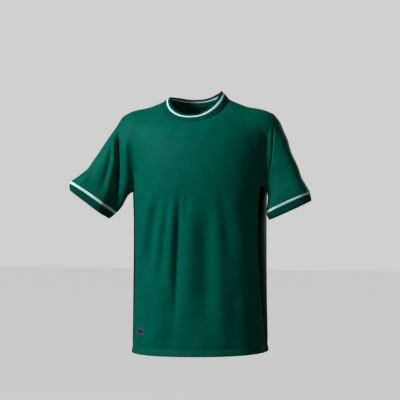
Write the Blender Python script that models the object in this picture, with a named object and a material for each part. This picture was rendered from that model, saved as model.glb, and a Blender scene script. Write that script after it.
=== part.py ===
"""A short-sleeved football jersey with raglan sleeves, hollow, in the form it has when worn.

+Z is up, the front faces -Y and the wearer's left is +X. The origin is on the shoulder line at the middle
of the neck, where a wearer's shoulders carry the garment. Sizes in the tables are millimetres.

Each panel is a grid of points on one smooth surface. The surface is a body of oval sections blended with
two tapered arm tubes. Folds are soft ridges and troughs added along the surface's own normal, so a fold
runs on across a seam. Each panel is a closed wall, and neighbours stand 0.3 mm apart at their seams.
"""

import math

import bpy
import numpy as np

MM = 0.001
WALL = 1.8
HEM_WALL = 3.0
RIB_WALL = 2.6
SEAM_GAP = 0.3
UNDERARM_Z = -238.0
HEM_Z = -685.0
HEM_DEPTH = 24.0
BLEND = 28.0
TUBE_FLAT = 1.12
NECK_TILT = 0.036
HEM_TILT = 0.022
SWAY = 10.0
SWAY_DEPTH = 250.0

# The body's level sections: half-width, reach to the front and to the back, and squareness of the oval.
TORSO_COLUMNS = ("z", "half_width", "front", "back", "squareness")
TORSO = (
    (30.0, 56.0, 6.0, 20.0, 2.00),
    (0.0, 92.0, 26.0, 48.0, 2.00),
    (-13.0, 122.0, 39.0, 63.0, 2.00),
    (-24.0, 150.0, 48.5, 72.0, 2.00),
    (-35.5, 176.0, 57.0, 81.0, 2.02),
    (-47.5, 196.0, 68.0, 89.0, 2.05),
    (-63.0, 203.0, 80.5, 95.0, 2.08),
    (-85.0, 202.0, 93.0, 101.0, 2.10),
    (-120.0, 196.0, 107.0, 107.0, 2.12),
    (-160.0, 190.0, 117.0, 110.0, 2.16),
    (-200.0, 186.0, 123.0, 111.0, 2.20),
    (-245.0, 184.0, 125.0, 109.0, 2.25),
    (-330.0, 182.0, 124.0, 104.0, 2.25),
    (-420.0, 182.0, 123.0, 101.0, 2.25),
    (-520.0, 183.0, 124.0, 103.0, 2.25),
    (-620.0, 184.5, 126.0, 107.0, 2.25),
    (-700.0, 185.5, 128.0, 110.0, 2.25),
)

# The arm tubes inside the shoulders: centre and radius, for the wearer's left (+X) and right (-X).
TUBE_COLUMNS = ("x", "y", "z", "radius")
TUBES = {
    "left": ((176.0, 2.0, -93.0, 60.0), (231.3, -10.0, -219.8, 51.0), (262.0, -20.0, -300.0, 51.0)),
    "right": ((-161.0, 2.0, -100.0, 70.0), (-240.5, -18.0, -199.5, 66.0), (-310.0, -50.0, -285.0, 70.0)),
}

# Where the raglan seams run, seen from the front and from the back: distance from the middle at a height.
RAGLAN_COLUMNS = ("z", "x")
RAGLAN_FRONT = ((-39.0, 121.0), (-57.0, 149.0), (-84.0, 168.0), (-103.0, 176.0), (-131.0, 181.0), (-171.0, 179.0))
RAGLAN_BACK = ((-20.0, 98.0), (-40.0, 128.0), (-75.0, 152.0), (-110.0, 165.0), (-150.0, 173.0), (-200.0, 175.0))

# The top line of each shoulder and the outer line of each sleeve down to the level of the underarm.
CREST_COLUMNS = ("x", "y", "z")
CREST = {
    "left": (
        (91.0, -9.0, -2.0),
        (124.0, -5.0, -13.0),
        (151.0, -2.0, -23.0),
        (179.0, 0.0, -34.0),
        (207.0, 0.0, -45.0),
        (223.5, 0.0, -58.0),
        (230.0, 0.0, -82.0),
        (252.0, -4.0, -138.0),
        (277.5, -9.0, -199.6),
    ),
    "right": (
        (-91.0, -9.0, -2.0),
        (-124.0, -5.0, -13.0),
        (-151.0, -2.0, -23.0),
        (-179.0, 0.0, -34.0),
        (-206.0, 0.0, -45.0),
        (-225.0, 0.0, -58.0),
        (-239.0, -2.0, -78.0),
        (-265.0, -8.0, -122.0),
        (-299.5, -18.0, -158.0),
    ),
}

# The sleeves' rings below the underarm: centre, the four reaches, the rise of the outer side above level
# and the turn about the vertical, and how far the front leans up the arm, in degrees. The last three rows
# end the sleeve, the stripe and the cuff.
RING_COLUMNS = ("at", "x", "y", "z", "outer", "inner", "front", "back", "rise", "turn", "lean")
RINGS = {
    "left": (
        (0.00, 230.3, -10.0, -219.8, 50.5, 46.0, 54.0, 56.0, 22.0, 2.0, 0.0),
        (0.50, 235.5, -17.5, -252.0, 59.4, 50.0, 52.0, 52.0, 23.0, 6.0, 1.0),
        (1.00, 240.5, -23.5, -283.5, 66.8, 61.0, 46.0, 46.0, 23.3, 10.0, 3.0),
        (1.10, 243.2, -24.3, -289.9, 66.0, 61.0, 45.0, 45.0, 23.3, 10.0, 3.0),
        (1.40, 249.9, -26.0, -305.4, 62.0, 61.0, 42.0, 42.0, 23.3, 10.0, 1.0),
    ),
    "right": (
        (0.00, -243.5, -18.0, -198.5, 72.5, 66.0, 54.0, 56.0, 35.0, 2.0, 0.0),
        (0.50, -268.5, -30.5, -227.0, 68.5, 79.0, 50.0, 52.0, 35.0, 5.0, 4.0),
        (0.80, -282.5, -37.5, -246.0, 71.5, 81.5, 42.0, 44.0, 35.2, 7.0, 8.0),
        (1.00, -290.0, -41.0, -257.2, 75.5, 75.5, 38.0, 38.0, 35.4, 8.0, 11.0),
        (1.10, -294.1, -42.4, -262.9, 74.6, 74.6, 37.0, 37.0, 35.4, 8.0, 11.0),
        (1.40, -301.0, -45.7, -277.6, 67.0, 66.6, 35.0, 35.0, 37.2, 8.0, 4.0),
    ),
}

# How far each sleeve stands off the body just below the underarm, at the front and more towards the back.
SLEEVE_CLEAR = {"left": 6.0, "right": 16.0}
CLEAR_BACKWARD = 0.07
UNDERARM_EASE = 5

# The sleeves hang flatter in front and behind than a tube does: see flattened(), and from which height down.
FLAT_EDGE = 1.4
FLAT_FACE = 0.85
FLAT_Z = (-50.0, -130.0)
FLAT_SEAM_SHARES = (0.22, 0.7)
# How far the arm bends forward at the underarm, and over which share of the cap.
FORWARD = {"left": 5.0, "right": 0.0}
FORWARD_FROM = 0.4

# The neckline seen from above, the collar's inner edge and that edge's height, front to back.
NECK_HALF_WIDTH = 91.0
NECK_FRONT = 80.0
NECK_BACK = 62.0
NECK_FULLNESS = 0.87
EDGE_HALF_WIDTH = 70.0
EDGE_FRONT = 68.0
EDGE_BACK = 52.0
EDGE_COLUMNS = ("toward_front", "z")
EDGE_LIFT = 11.0
EDGE_HEIGHT = ((-1.0, 9.0), (-0.6, 14.0), (0.0, 13.0), (0.4, -3.0), (0.7, -20.0), (0.9, -34.0), (1.0, -42.0))
COLLAR_BANDS = (("collar_rib", 0.0, 0.55), ("collar_stripe", 0.55, 0.75), ("collar_edge", 0.75, 1.0))
RAGLAN_NECK_FRONT = 28.0
RAGLAN_NECK_BACK = -47.0

# The side seams below the underarm, as degrees round from the side towards the front.
SIDE_COLUMNS = ("z", "left_front", "left_back", "right_front", "right_back")
SIDE_SEAMS = (
    (-238.0, 16.5, 8.5, 16.5, 8.5),
    (-300.0, 19.0, 10.5, 16.0, 7.0),
    (-380.0, 19.0, 10.7, 17.0, 4.0),
    (-460.0, 17.5, 7.5, 17.0, 1.0),
    (-567.0, 14.0, 0.5, 15.0, -3.0),
    (-645.0, 9.5, -5.0, 14.0, -5.0),
    (-700.0, 7.5, -7.0, 14.0, -6.0),
)
BACK_CORNER = -18.0

# Folds on the front, the back and the sleeves. Each runs from its top to its foot through a bend, with its
# half-width at the top and at the foot and a height, which is minus for a trough.
FOLD_COLUMNS = ("x_top", "z_top", "x_mid", "z_mid", "x_foot", "z_foot", "half_top", "half_foot", "height")
FRONT_FOLDS = (
    (-114.0, -243.0, -131.0, -336.0, -159.0, -453.0, 12.0, 12.0, 4.0),
    (-93.0, -238.0, -109.0, -337.0, -131.0, -497.0, 14.0, 15.0, -6.0),
    (-73.0, -250.0, -88.0, -337.0, -109.0, -510.0, 12.0, 13.0, 3.0),
    (-48.0, -240.0, -54.0, -337.0, -68.0, -549.0, 12.0, 14.0, 6.0),
    (-34.0, -229.0, -39.0, -377.0, -48.0, -641.0, 12.0, 14.0, -6.5),
    (3.0, -246.0, -4.0, -364.0, -7.0, -614.0, 18.0, 25.0, 6.0),
    (42.0, -260.0, 40.0, -378.0, 40.0, -640.0, 21.0, 24.0, -6.0),
    (64.0, -237.0, 66.0, -405.0, 80.0, -672.0, 17.0, 20.0, 3.0),
    (77.0, -232.0, 88.0, -340.0, 102.0, -448.0, 13.0, 14.0, -2.2),
    (-118.0, -470.0, -96.0, -590.0, -93.0, -690.0, 20.0, 24.0, 3.5),
    (-65.0, -520.0, -56.0, -601.0, -56.0, -690.0, 18.0, 22.0, -3.0),
    (109.0, -480.0, 110.0, -603.0, 110.0, -690.0, 20.0, 22.0, -1.8),
)
BACK_FOLDS = (
    (-120.0, -200.0, -112.0, -380.0, -100.0, -600.0, 16.0, 18.0, -5.0),
    (-85.0, -190.0, -80.0, -360.0, -72.0, -560.0, 16.0, 20.0, 5.0),
    (-45.0, -230.0, -48.0, -420.0, -52.0, -640.0, 14.0, 18.0, -6.0),
    (-10.0, -210.0, -6.0, -400.0, 2.0, -620.0, 15.0, 18.0, 5.0),
    (30.0, -240.0, 28.0, -400.0, 24.0, -600.0, 13.0, 17.0, -5.0),
    (62.0, -200.0, 66.0, -380.0, 74.0, -600.0, 15.0, 20.0, 5.0),
    (100.0, -210.0, 104.0, -380.0, 108.0, -560.0, 15.0, 17.0, -5.0),
    (136.0, -300.0, 138.0, -440.0, 136.0, -620.0, 14.0, 18.0, 4.0),
)
SLEEVE_FRONT_FOLDS = (
    (-216.0, -62.0, -215.0, -173.0, -222.0, -300.0, 7.0, 11.0, -9.0),
    (-220.0, -155.0, -226.0, -240.0, -240.0, -350.0, 9.0, 26.0, -13.0),
    (-190.0, -82.0, -190.0, -170.0, -193.0, -262.0, 10.0, 17.0, 9.0),
    (-270.0, -135.0, -297.0, -184.0, -320.0, -236.0, 9.0, 12.0, 2.5),
    (208.0, -60.0, 203.0, -140.0, 191.0, -240.0, 7.0, 8.0, 2.5),
    (200.0, -78.0, 192.0, -141.0, 178.0, -236.0, 8.0, 10.0, -5.0),
    (185.0, -74.0, 183.0, -184.0, 182.0, -321.0, 10.0, 15.0, -6.0),
)
SLEEVE_BACK_FOLDS = (
    (212.0, -90.0, 214.0, -150.0, 216.0, -270.0, 10.0, 14.0, -9.0),
    (238.0, -110.0, 246.0, -180.0, 256.0, -270.0, 11.0, 13.0, 5.0),
    (-210.0, -85.0, -220.0, -150.0, -240.0, -280.0, 10.0, 16.0, -10.0),
    (-246.0, -100.0, -264.0, -160.0, -290.0, -250.0, 11.0, 14.0, 5.0),
)

LABEL_AT = (-148.0, -623.0)
LABEL_SIZE = (32.0, 16.5)
LABEL_LEAN = 0.78
LABEL_WALL = 1.0

COLOURS = {
    "green": ((0.004, 0.105, 0.072), 0.45),
    "rib": ((0.003, 0.070, 0.048), 0.60),
    "navy": ((0.004, 0.006, 0.014), 0.50),
    "white": ((0.72, 0.78, 0.75), 0.55),
    "label": ((0.010, 0.030, 0.045), 0.60),
}


def smooth_curve(xs, ys, at):
    """A curve through the table's points with no overshoot (monotone cubic), read at the given places."""
    xs = np.asarray(xs, float)
    ys = np.asarray(ys, float)
    order = np.argsort(xs)
    xs = xs[order]
    ys = ys[order]
    h = np.diff(xs)
    d = np.diff(ys) / h
    m = np.zeros(len(xs))
    m[0] = d[0]
    m[-1] = d[-1]
    same = d[:-1] * d[1:] > 0
    w1 = 2 * h[1:] + h[:-1]
    w2 = h[1:] + 2 * h[:-1]
    safe = np.where(same, d[:-1] * d[1:], 1.0)
    m[1:-1] = np.where(same, (w1 + w2) * safe / np.where(same, w1 * d[1:] + w2 * d[:-1], 1.0), 0.0)
    at = np.clip(np.asarray(at, float), xs[0], xs[-1])
    i = np.clip(np.searchsorted(xs, at) - 1, 0, len(h) - 1)
    t = (at - xs[i]) / h[i]
    a = ys[i] * (1 + 2 * t) * (1 - t) ** 2 + ys[i + 1] * t * t * (3 - 2 * t)
    return a + h[i] * (m[i] * t * (1 - t) ** 2 - m[i + 1] * t * t * (1 - t))


def table_reader(columns, rows, step):
    """A quick reader of one table: column name and place in the first column to value."""
    first = [row[0] for row in rows]
    at = np.arange(min(first), max(first) + step, step)
    dense = {}
    for i, name in enumerate(columns):
        dense[name] = smooth_curve(first, [row[i] for row in rows], at)
    return lambda name, where: np.interp(where, at, dense[name])


torso = table_reader(TORSO_COLUMNS, TORSO, 1.0)
side_seam = table_reader(SIDE_COLUMNS, SIDE_SEAMS, 1.0)
edge_height = table_reader(EDGE_COLUMNS, EDGE_HEIGHT, 0.01)
ring = {side: table_reader(RING_COLUMNS, RINGS[side], 0.01) for side in RINGS}


def torso_radius(c, s, z):
    """How far the body reaches at a height, towards the plan direction (c to the left, s to the back)."""
    n = torso("squareness", z)
    b = np.where(s < 0, torso("front", z), torso("back", z))
    return ((np.abs(c) / torso("half_width", z)) ** n + (np.abs(s) / b) ** n) ** (-1 / n)


def torso_gap(p):
    """The distance outside the body, minus inside, made true where the body slopes."""
    r = np.hypot(p[..., 0], p[..., 1]) + 1e-9
    c = p[..., 0] / r
    s = p[..., 1] / r
    here = torso_radius(c, s, p[..., 2])
    slope = (torso_radius(c, s, p[..., 2] + 2.0) - torso_radius(c, s, p[..., 2] - 2.0)) / 4.0
    return (r - here) / np.sqrt(1 + slope * slope)


def tube_gap(p, side):
    """The distance outside an arm tube, minus inside."""
    best = None
    rows = np.array(TUBES[side])
    for a, b in zip(rows[:-1], rows[1:]):
        scale = np.array((1.0, TUBE_FLAT, 1.0))
        along = (b[:3] - a[:3]) * scale
        v = (p - a[:3]) * scale
        t = np.clip((v @ along) / (along @ along), 0.0, 1.0)
        d = np.linalg.norm(v - t[..., None] * along, axis=-1) - (a[3] + t * (b[3] - a[3]))
        best = d if best is None else np.minimum(best, d)
    return best


def blended(a, b):
    """The smaller of two distances, rounded where they are alike."""
    h = np.maximum(BLEND - np.abs(a - b), 0.0) / BLEND
    return np.minimum(a, b) - h * h * BLEND / 4


def form(p, fading):
    """The garment's surface is where this is zero. With fading, the arms end at the underarm."""
    away = 2.0 * np.maximum(UNDERARM_Z + 14.0 - p[..., 2], 0.0) if fading else 0.0
    d = torso_gap(p)
    for side in TUBES:
        d = blended(d, tube_gap(p, side) + away)
    return d


def first_crossing(start, direction, reach, fading, steps=48):
    """Along each ray, the first place where the form changes sign."""
    t = np.linspace(0.0, reach, steps)
    p = start[:, None, :] + t[None, :, None] * direction[:, None, :]
    f = form(p, fading)
    change = f[:, :-1] * f[:, 1:] <= 0
    i = np.where(change.any(axis=1), change.argmax(axis=1), steps - 2)
    rows = np.arange(len(start))
    low = t[i]
    high = t[i + 1]
    sign = np.sign(f[rows, i])
    for _ in range(18):
        mid = (low + high) / 2
        same = np.sign(form(start + mid[:, None] * direction, fading)) == sign
        low = np.where(same, mid, low)
        high = np.where(same, high, mid)
    return start + ((low + high) / 2)[:, None] * direction


def form_normal(p, fading):
    """The outward normal of the form at points on it."""
    n = np.zeros_like(p)
    for k in range(3):
        e = np.zeros(3)
        e[k] = 1.0
        n[..., k] = form(p + e, fading) - form(p - e, fading)
    return n / np.linalg.norm(n, axis=-1, keepdims=True)


def seen_from(x, z, front):
    """The surface point at x and z that faces the front, or the back."""
    x = np.asarray(x, float)
    z = np.broadcast_to(np.asarray(z, float), x.shape)
    y = -240.0 if front else 240.0
    start = np.stack([x.ravel(), np.full(x.size, y), z.ravel()], axis=1)
    direction = np.zeros_like(start)
    direction[:, 1] = 1.0 if front else -1.0
    return first_crossing(start, direction, 239.0, True, 96).reshape(x.shape + (3,))


def neck_oval(bearing):
    """Cosine and sine for an oval that is a little fuller than an ellipse at the front."""
    a = np.radians(np.asarray(bearing, float))
    c = np.cos(a)
    s = np.sin(a)
    full = np.where(s > 0, NECK_FULLNESS, 1.0)
    return np.sign(c) * np.abs(c) ** full, np.sign(s) * np.abs(s) ** full


def neckline(bearing):
    """The collar seam, at degrees round from the left side towards the front."""
    c, s = neck_oval(bearing)
    middle = (NECK_BACK - NECK_FRONT) / 2
    depth = (NECK_BACK + NECK_FRONT) / 2
    x = NECK_HALF_WIDTH * c
    y = middle - depth * s
    start = np.stack([x, y, np.full(x.shape, 40.0)], axis=-1).reshape(-1, 3)
    direction = np.tile((0.0, 0.0, -1.0), (len(start), 1))
    return first_crossing(start, direction, 160.0, True, 96).reshape(x.shape + (3,))


def collar_edge(bearing):
    """The collar's inner edge, at degrees round from the left side towards the front."""
    c, s = neck_oval(bearing)
    x = EDGE_HALF_WIDTH * c
    y = (EDGE_BACK - EDGE_FRONT) / 2 - (EDGE_BACK + EDGE_FRONT) / 2 * s
    z = edge_height("z", s) + EDGE_LIFT * np.maximum(c, 0.0) ** 2
    return np.stack([x, y, z], axis=-1)


def along(points, fraction):
    """Places at fractions of the length of a line through points, smoothly."""
    points = np.asarray(points, float)
    length = np.concatenate([[0], np.cumsum(np.linalg.norm(np.diff(points, axis=0), axis=1))])
    at = np.asarray(fraction, float) * length[-1]
    return np.stack([smooth_curve(length, points[:, k], at) for k in range(points.shape[1])], axis=-1)


def raglan(front, fraction):
    """x and z of the raglan seam from the neckline to the underarm, for the wearer's left."""
    top = neckline(np.array(RAGLAN_NECK_FRONT if front else RAGLAN_NECK_BACK))
    rows = RAGLAN_FRONT if front else RAGLAN_BACK
    bearing = math.radians(side_seam("left_front", UNDERARM_Z) if front else BACK_CORNER)
    foot = torso_radius(math.cos(bearing), -math.sin(bearing), UNDERARM_Z) * math.cos(bearing)
    line = [(top[0], top[2])] + [(x, z) for z, x in rows] + [(foot, UNDERARM_Z)]
    return along(line, fraction)


def levels(cap_rows, body_rows, hem_rows):
    """Heights of the rows from the underarm to the hem, with close rows at the hem's fold."""
    top = HEM_Z + HEM_DEPTH
    upper = np.linspace(UNDERARM_Z, top + 0.6, body_rows + 1)
    lower = np.linspace(top - 0.6, HEM_Z, hem_rows + 1)
    return np.concatenate([upper, lower])


def side_point(side, bearing, z):
    """The body's surface at degrees round from one side towards the front."""
    a = np.radians(bearing)
    r = torso_radius(np.cos(a), -np.sin(a), z)
    x = r * np.cos(a)
    return np.stack([x if side == "left" else -x, -r * np.sin(a), np.broadcast_to(z, x.shape)], axis=-1)


def body_point(x, z, front):
    """The body's surface at x and z, on its front or its back."""
    n = torso("squareness", z)
    reach = -torso("front", z) if front else torso("back", z)
    y = reach * np.maximum(1 - (np.abs(x) / torso("half_width", z)) ** n, 0.0) ** (1 / n)
    return np.stack([x, y, np.broadcast_to(z, x.shape)], axis=-1)


def half_panel_points(front, fractions, spread, heights):
    """Front or back panel: rows down the raglan, then rows to the hem, over the given spread from -1 to 1."""
    seam = raglan(front, fractions)
    bearing = 90 - (90 - (RAGLAN_NECK_FRONT if front else -RAGLAN_NECK_BACK)) * 1.0
    across = np.degrees(np.arccos(np.clip(spread * math.cos(math.radians(bearing)), -1, 1)))
    top = neckline(across if front else -across)
    middle = top[len(spread) // 2, 2]
    rows = [top]
    for f, (x, z) in zip(fractions[1:], seam[1:]):
        centre = middle + (UNDERARM_Z - middle) * f
        rows.append(seen_from(x * spread, z + (centre - z) * (1 - spread**2), front))
    for z in heights[1:]:
        if front:
            left = side_point("left", side_seam("left_front", z), z)[0]
            right = side_point("right", side_seam("right_front", z), z)[0]
        else:
            left = side_point("left", BACK_CORNER, z)[0]
            right = -left
        rows.append(body_point((left + right) / 2 + (left - right) / 2 * spread, z, front))
    return np.array(rows)


def ring_points(side, at, angle):
    """Points on a sleeve's ring: 0 degrees is the outer side and 90 the front."""
    read = ring[side]
    sign = 1.0 if side == "left" else -1.0
    rise = math.radians(read("rise", at))
    turn = math.radians(read("turn", at))
    if side == "right":
        turn = -turn
    outward = np.array((sign * math.cos(rise) * math.cos(turn), sign * math.cos(rise) * math.sin(turn), math.sin(rise)))
    if side == "right":
        outward[1] = -math.cos(rise) * math.sin(-turn)
    forward = np.array((0.0, -1.0, 0.0))
    forward = forward - (forward @ outward) * outward
    forward = forward / np.linalg.norm(forward)
    up = np.cross(outward, forward) * -sign
    lean = math.radians(read("lean", at))
    forward = forward * math.cos(lean) + up * math.sin(lean)
    c = np.cos(np.radians(angle))
    s = np.sin(np.radians(angle))
    u = c * np.where(c > 0, read("outer", at), read("inner", at))
    v = s * np.where(s > 0, read("front", at), read("back", at))
    centre = np.array([read("x", at), read("y", at), read("z", at)])
    return centre + u[:, None] * outward + v[:, None] * forward


def cap_row(front_point, crest_point, back_point, share, counts):
    """One row of a sleeve above the underarm, from its front seam over the crest to its back seam."""
    middle = (front_point + back_point) / 2
    centre = middle + (crest_point - middle) * (-1.2 + 1.7 * share)
    e1 = crest_point - centre
    e1 = e1 / np.linalg.norm(e1)
    v = front_point - centre
    e2 = v - (v @ e1) * e1
    e2 = e2 / np.linalg.norm(e2)
    start = math.atan2(v @ e2, v @ e1)
    w = back_point - centre
    end = math.atan2(w @ e2, w @ e1)
    if end > 0:
        end -= 2 * math.pi
    halves = []
    for a, b, count in ((start, 0.0, counts[0]), (0.0, end, counts[1])):
        angles = np.linspace(a, b, 60)
        rays = np.cos(angles)[:, None] * e1 + np.sin(angles)[:, None] * e2
        p = first_crossing(np.tile(centre, (60, 1)), rays, 260.0, False, 64)
        if a != 0.0:
            p[0] = front_point
        else:
            p[-1] = back_point
        length = np.concatenate([[0], np.cumsum(np.linalg.norm(np.diff(p, axis=0), axis=1))])
        want = np.linspace(0, length[-1], count + 1)
        halves.append(np.stack([np.interp(want, length, p[:, k]) for k in range(3)], axis=1))
    return np.concatenate([halves[0], halves[1][1:]])


def clear_of_body(p, clearance, backward):
    """Points moved straight out of the body until they are clear of it, by more towards the back."""
    r = np.hypot(p[:, 0], p[:, 1])
    c = p[:, 0] / r
    s = p[:, 1] / r
    short = clearance + backward * np.clip(p[:, 1] + 50.0, 0.0, 120.0) - (r - torso_radius(c, s, p[:, 2]))
    move = np.where(short > 6, short, np.where(short < -6, 0.0, (short + 6) ** 2 / 24))
    move = np.maximum(move, short)
    q = p.copy()
    q[:, 0] += c * move
    q[:, 1] += s * move
    return q


def sleeve_points(side, fractions, counts, strip, ring_rows, cuff_rows):
    """A sleeve's rows above the underarm, and the rings from the underarm row to the cuff's end."""
    sign = 1.0 if side == "left" else -1.0
    flip = np.array((sign, 1.0))
    seams = []
    for front in (True, False):
        xz = raglan(front, fractions) * flip
        line = seen_from(xz[:, 0], xz[:, 1], front)
        bearing = RAGLAN_NECK_FRONT if front else RAGLAN_NECK_BACK
        line[0] = neckline(np.array(bearing if side == "left" else 180 - bearing))
        seams.append(line)
    crest = along(CREST[side], fractions)
    angles = np.concatenate(
        [
            np.linspace(RAGLAN_NECK_FRONT, 0, counts[0] + 1),
            np.linspace(0, RAGLAN_NECK_BACK, counts[1] + 1)[1:],
        ]
    )
    rows = [neckline(angles if side == "left" else 180 - angles)]
    for f, a, k, b in zip(fractions[1:], seams[0][1:], crest[1:], seams[1][1:]):
        rows.append(cap_row(a, k, b, f, counts))
    cap = np.array(rows)
    first = np.concatenate([cap[-1], strip])
    e = np.linalg.norm(np.diff(np.concatenate([first, first[:1]]), axis=0), axis=1)
    m = counts[0] + counts[1]
    front_share = np.concatenate([[0], np.cumsum(e[: counts[0]])]) / e[: counts[0]].sum()
    back_share = np.concatenate([[0], np.cumsum(e[counts[0] : m])]) / e[counts[0] : m].sum()
    strip_share = np.cumsum(e[m:])[:-1] / e[m:].sum()
    open_by = 26.0
    angle = np.concatenate(
        [
            (180 - open_by) * (1 - front_share),
            -(180 - open_by) * back_share[1:],
            -(180 - open_by) - 2 * open_by * strip_share,
        ]
    )
    difference = first - ring_points(side, 0.0, angle)
    places = np.concatenate([np.linspace(0, 1, ring_rows + 1), np.linspace(1.1, 1.4, cuff_rows + 1)])
    rings = []
    for at in places:
        fade = max(0.0, 1 - at / 0.75) ** 2
        rings.append(ring_points(side, at, angle) + difference * fade)
    rings = np.array(rings)
    rings[0] = first
    weight = ((1 - places[1:ring_rows]) ** 0.7)[:, None, None]
    for _ in range(round(UNDERARM_EASE * (ring_rows / 5) ** 2)):
        around = np.roll(rings, 1, axis=1) + np.roll(rings, -1, axis=1)
        middle = (rings[: ring_rows - 1] + rings[2 : ring_rows + 1] + around[1:ring_rows]) / 4
        rings[1:ring_rows] += weight * (middle - rings[1:ring_rows])
        for i in range(1, ring_rows):
            share = 1 - (1 - min(1.0, places[i] / 0.5)) ** 2
            rings[i] = clear_of_body(rings[i], 0.8 + (SLEEVE_CLEAR[side] - 0.8) * share, CLEAR_BACKWARD * share)
    for i in range(ring_rows, len(rings)):
        rings[i] = clear_of_body(rings[i], SLEEVE_CLEAR[side] if side == "left" else 8.0, 0.0)
    column = np.arange(m + 1)
    from_seams = column / counts[0] / FLAT_SEAM_SHARES[0], (m - column) / counts[1] / FLAT_SEAM_SHARES[1]
    inside = soft_step(np.minimum(*from_seams))
    down = soft_step((FLAT_Z[0] - cap[..., 2]) / (FLAT_Z[0] - FLAT_Z[1]))
    cap = flattened(cap, down * inside)
    bend = np.clip((fractions - FORWARD_FROM) / (1 - FORWARD_FROM), 0.0, 1.0) ** 2
    cap[..., 1] -= FORWARD[side] * bend[:, None] * inside
    inside = np.concatenate([inside, np.zeros(rings.shape[1] - m - 1)])
    unbend = (1 - np.minimum(places, 1.0))[:, None] ** 2 * inside
    inside = inside + (1 - inside) * soft_step((places - 0.2) / 0.6)[:, None]
    rings = flattened(rings, inside)
    rings[..., 1] -= FORWARD[side] * unbend
    rings[0, : m + 1] = cap[-1]
    return cap, rings


def flattened(rows, weight):
    """A sleeve's rows with the depth y of each turned from q, -1 at its back and 1 at its front, into
    FLAT_EDGE q - (FLAT_EDGE - FLAT_FACE) q |q|, times its half depth: flatter faces and a fuller outer edge."""
    low = rows[..., 1].min(axis=1, keepdims=True)
    high = rows[..., 1].max(axis=1, keepdims=True)
    middle = (low + high) / 2
    half = (high - low) / 2
    q = (rows[..., 1] - middle) / half
    flat = middle + half * (FLAT_EDGE * q - (FLAT_EDGE - FLAT_FACE) * q * np.abs(q))
    out = rows.copy()
    out[..., 1] += weight * (flat - rows[..., 1])
    return out


def wall(name, outer, normals, faces, thickness, colour, groups=()):
    """A closed wall: the outer points, the same points moved in along their normals, and a rim round them."""
    outer = np.asarray(outer, float).reshape(-1, 3).copy()
    normals = np.asarray(normals, float).reshape(-1, 3)
    thickness = np.broadcast_to(np.asarray(thickness, float), len(outer))
    count = {}
    for f, face in enumerate(faces):
        for a, b in zip(face, face[1:] + face[:1]):
            key = (min(a, b), max(a, b))
            count.setdefault(key, []).append((a, b, f))
    border = [uses[0] for uses in count.values() if len(uses) == 1]
    inward = {}
    for a, b, f in border:
        edge = outer[b] - outer[a]
        edge = edge / np.linalg.norm(edge)
        v = outer[list(faces[f])].mean(axis=0) - (outer[a] + outer[b]) / 2
        v = v - (v @ edge) * edge
        v = v / np.linalg.norm(v)
        inward.setdefault(a, []).append(v)
        inward.setdefault(b, []).append(v)
    shift = {}
    for i, vs in inward.items():
        total = np.sum(vs, axis=0)
        cosine = float(vs[0] @ vs[-1])
        shift[i] = total / len(vs) * 2 / max(1 + cosine, 0.6) * SEAM_GAP / 2 if len(vs) > 1 else vs[0] * SEAM_GAP / 2
    for i, v in shift.items():
        outer[i] += v
    inner = outer - normals * thickness[:, None]
    n = len(outer)
    points = np.concatenate([outer, inner])
    halves = []
    for a, b, c, d in faces:
        if np.linalg.norm(outer[a] - outer[c]) <= np.linalg.norm(outer[b] - outer[d]):
            halves += [(a, b, c), (a, c, d)]
        else:
            halves += [(a, b, d), (b, c, d)]
    polygons = halves + [(c + n, b + n, a + n) for a, b, c in halves]
    for a, b, _ in border:
        if a < b:
            polygons += [(b, a, a + n), (b, a + n, b + n)]
        else:
            polygons += [(b, a, b + n), (a, a + n, b + n)]
    return add_object(name, points, polygons, colour)


def settle(points):
    """The finished place of points: neck and hem tilt a little and the body hangs a little to the left."""
    p = np.asarray(points, float).copy()
    down = soft_step(-p[:, 2] / SWAY_DEPTH)
    p[:, 0] += SWAY * down
    x = p[:, 0]
    p[:, 2] += NECK_TILT * x * np.exp(-((x / 110.0) ** 2)) * (1 - down) + HEM_TILT * x * down
    return p


def add_object(name, points, polygons, colour):
    points = settle(points)
    corners = points[np.array(polygons)]
    if (np.cross(corners[:, 0], corners[:, 1]) * corners[:, 2]).sum() < 0:
        polygons = [tuple(reversed(f)) for f in polygons]
    mesh = bpy.data.meshes.new(name)
    mesh.from_pydata((points * MM).tolist(), [], polygons)
    mesh.shade_smooth()
    mesh.set_sharp_from_angle(angle=math.radians(50))
    material = bpy.data.materials.new(name)
    material.use_nodes = True
    shader = material.node_tree.nodes["Principled BSDF"]
    rgb, roughness = COLOURS[colour]
    shader.inputs["Base Color"].default_value = (*rgb, 1.0)
    shader.inputs["Roughness"].default_value = roughness
    shader.inputs["Metallic"].default_value = 0.0
    mesh.materials.append(material)
    thing = bpy.data.objects.new(name, mesh)
    bpy.context.scene.collection.objects.link(thing)
    return thing


def grid_faces(rows, columns, closed=False, first=0):
    """Four-sided faces of a grid of points numbered row by row."""
    faces = []
    last = columns if closed else columns - 1
    for i in range(rows - 1):
        for j in range(last):
            k = (j + 1) % columns
            a = first + i * columns
            b = a + columns
            faces.append((a + j, b + j, b + k, a + k))
    return faces


def grid_normals(points, closed):
    """Normals of a grid of points, rows down and columns across."""
    if closed:
        across = np.roll(points, -1, axis=1) - np.roll(points, 1, axis=1)
    else:
        across = np.gradient(points, axis=1)
    down = np.gradient(points, axis=0)
    n = np.cross(across, down)
    return n / np.maximum(np.linalg.norm(n, axis=-1, keepdims=True), 1e-9)


def soft_step(t):
    t = np.clip(t, 0.0, 1.0)
    return t * t * (3 - 2 * t)


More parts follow.
